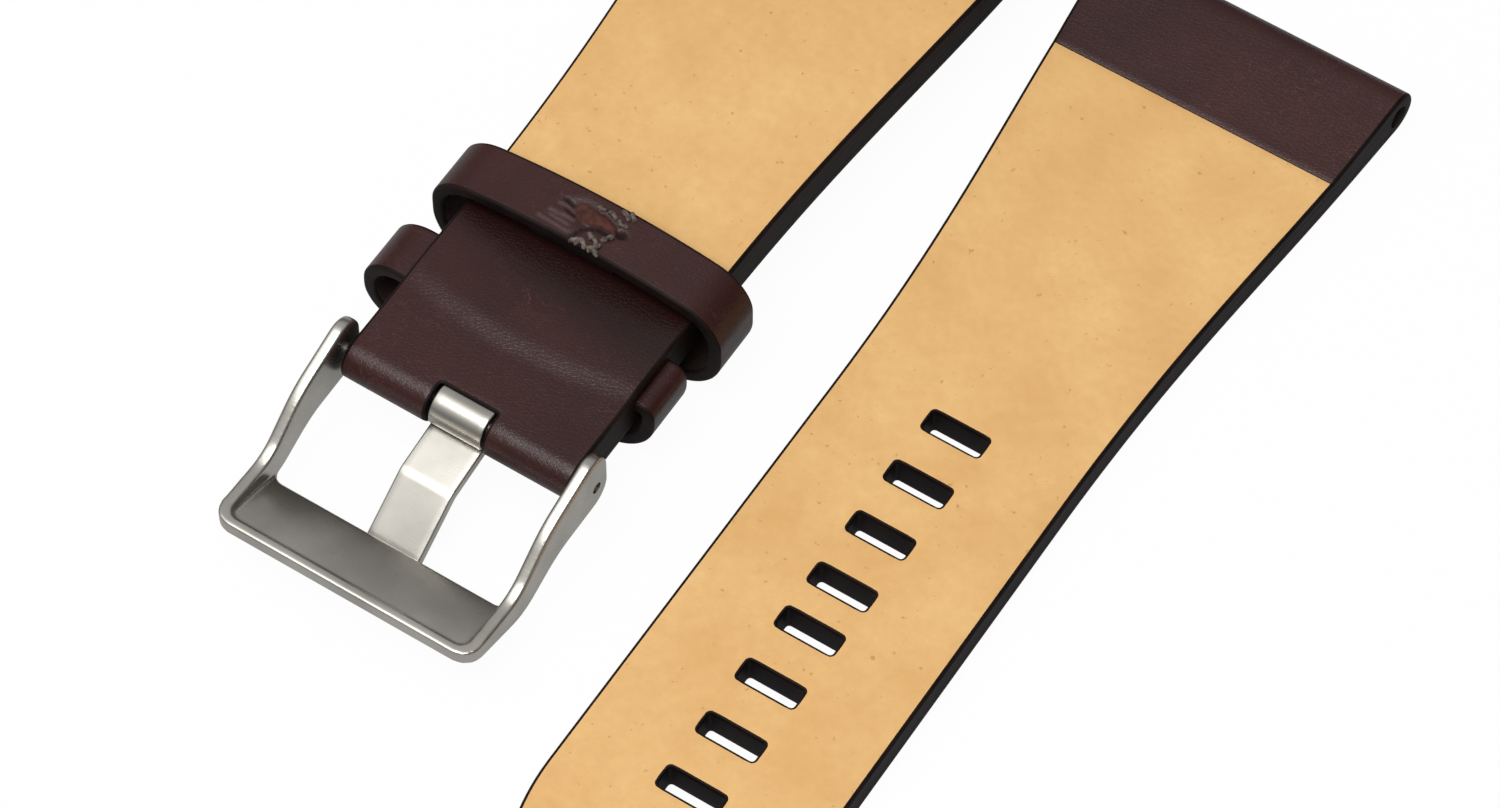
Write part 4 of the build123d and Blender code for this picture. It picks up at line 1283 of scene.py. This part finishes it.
corners = [(x * floor_half, y * floor_half, cad_low.z) for x, y in ((-1, -1), (1, -1), (1, 1), (-1, 1))]
floor_mesh = bpy.data.meshes.new("floor")
floor_mesh.from_pydata(corners, [], [(0, 1, 2, 3)])
floor = add_object("floor", floor_mesh)
paper, tree = new_material("pale_paper", 0.9)[:2]
diffuse = tree.nodes["Principled BSDF"]
diffuse.inputs["Base Color"].default_value = (0.86, 0.86, 0.86, 1)
path, seen = seen_straight(tree)
glossy = combine(tree, "MULTIPLY", path["Is Glossy Ray"], floor_gloss)
share = combine(tree, "MAXIMUM", combine(tree, "MULTIPLY", seen, floor_white), glossy)
glow = add_node(tree, "ShaderNodeEmission", {"Strength": combine(tree, "MAXIMUM", seen, floor_glow)})
mixed = {0: share, 1: diffuse.outputs["BSDF"], 2: glow.outputs["Emission"]}
blend = add_node(tree, "ShaderNodeMixShader", mixed)
tree.links.new(blend.outputs["Shader"], tree.nodes["Material Output"].inputs["Surface"])
floor_mesh.materials.append(paper)
floor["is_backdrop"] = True

world = bpy.data.worlds.new("studio")
bpy.context.scene.world = world
world.use_nodes = True
tree = world.node_tree
background = tree.nodes["Background"]
background.inputs["Color"].default_value = (1, 1, 1, 1)
direction = tree.nodes.new("ShaderNodeTexCoord").outputs["Generated"]
parts = add_node(tree, "ShaderNodeSeparateXYZ", {"Vector": direction}).outputs
ceiling = add_node(tree, "ShaderNodeVectorMath", {0: direction, 1: ceiling_tilt}, operation="DOT_PRODUCT")
above = spread(tree, ceiling.outputs["Value"], 0.86, 0.97, 0.0, 1.1)
low = spread(tree, parts["Z"], 0.25, 0.6, 0.10, 0.50)
front = spread(tree, parts["Y"], 0.1, -0.6, 0.0, 0.12)
side = spread(tree, parts["X"], -0.1, 0.8, 1.0, 0.35)
walls = combine(tree, "ADD", above, combine(tree, "MULTIPLY", side, combine(tree, "ADD", low, front)))
seen = seen_straight(tree)[1]
tree.links.new(combine(tree, "MAXIMUM", seen, walls), background.inputs["Strength"])

window = bpy.data.lights.new("overhead_window", "AREA")
window.size = window_size * millimetre
window.energy = window_power
lamp = add_object("overhead_window", window)
lamp.rotation_euler = (math.atan2(window_target_y - window_place[1], window_place[2]), 0, 0)
lamp.location = [c * millimetre for c in window_place]

# The camera, at the photograph's viewing angle: roll, then tilt, then heading.
camera_focal = 144.0
camera_sensor = 36.0
camera_place = (137.41, -300.83, 452.13)
camera_elevation = 57.562
camera_heading = 32.587
camera_roll = 0.248
lens = bpy.data.cameras.new("camera")
lens.lens = camera_focal
lens.sensor_width = camera_sensor
lens.clip_start = 0.01
lens.clip_end = 20.0
camera = add_object("camera", lens)
camera.matrix_world = (
    Matrix.Translation([c * millimetre for c in camera_place])
    @ Matrix.Rotation(math.radians(camera_heading), 4, "Z")
    @ Matrix.Rotation(math.radians(90 - camera_elevation), 4, "X")
    @ Matrix.Rotation(math.radians(camera_roll), 4, "Z")
)
bpy.context.scene.camera = camera
bpy.context.scene.view_settings.view_transform = "Standard"

low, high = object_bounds()
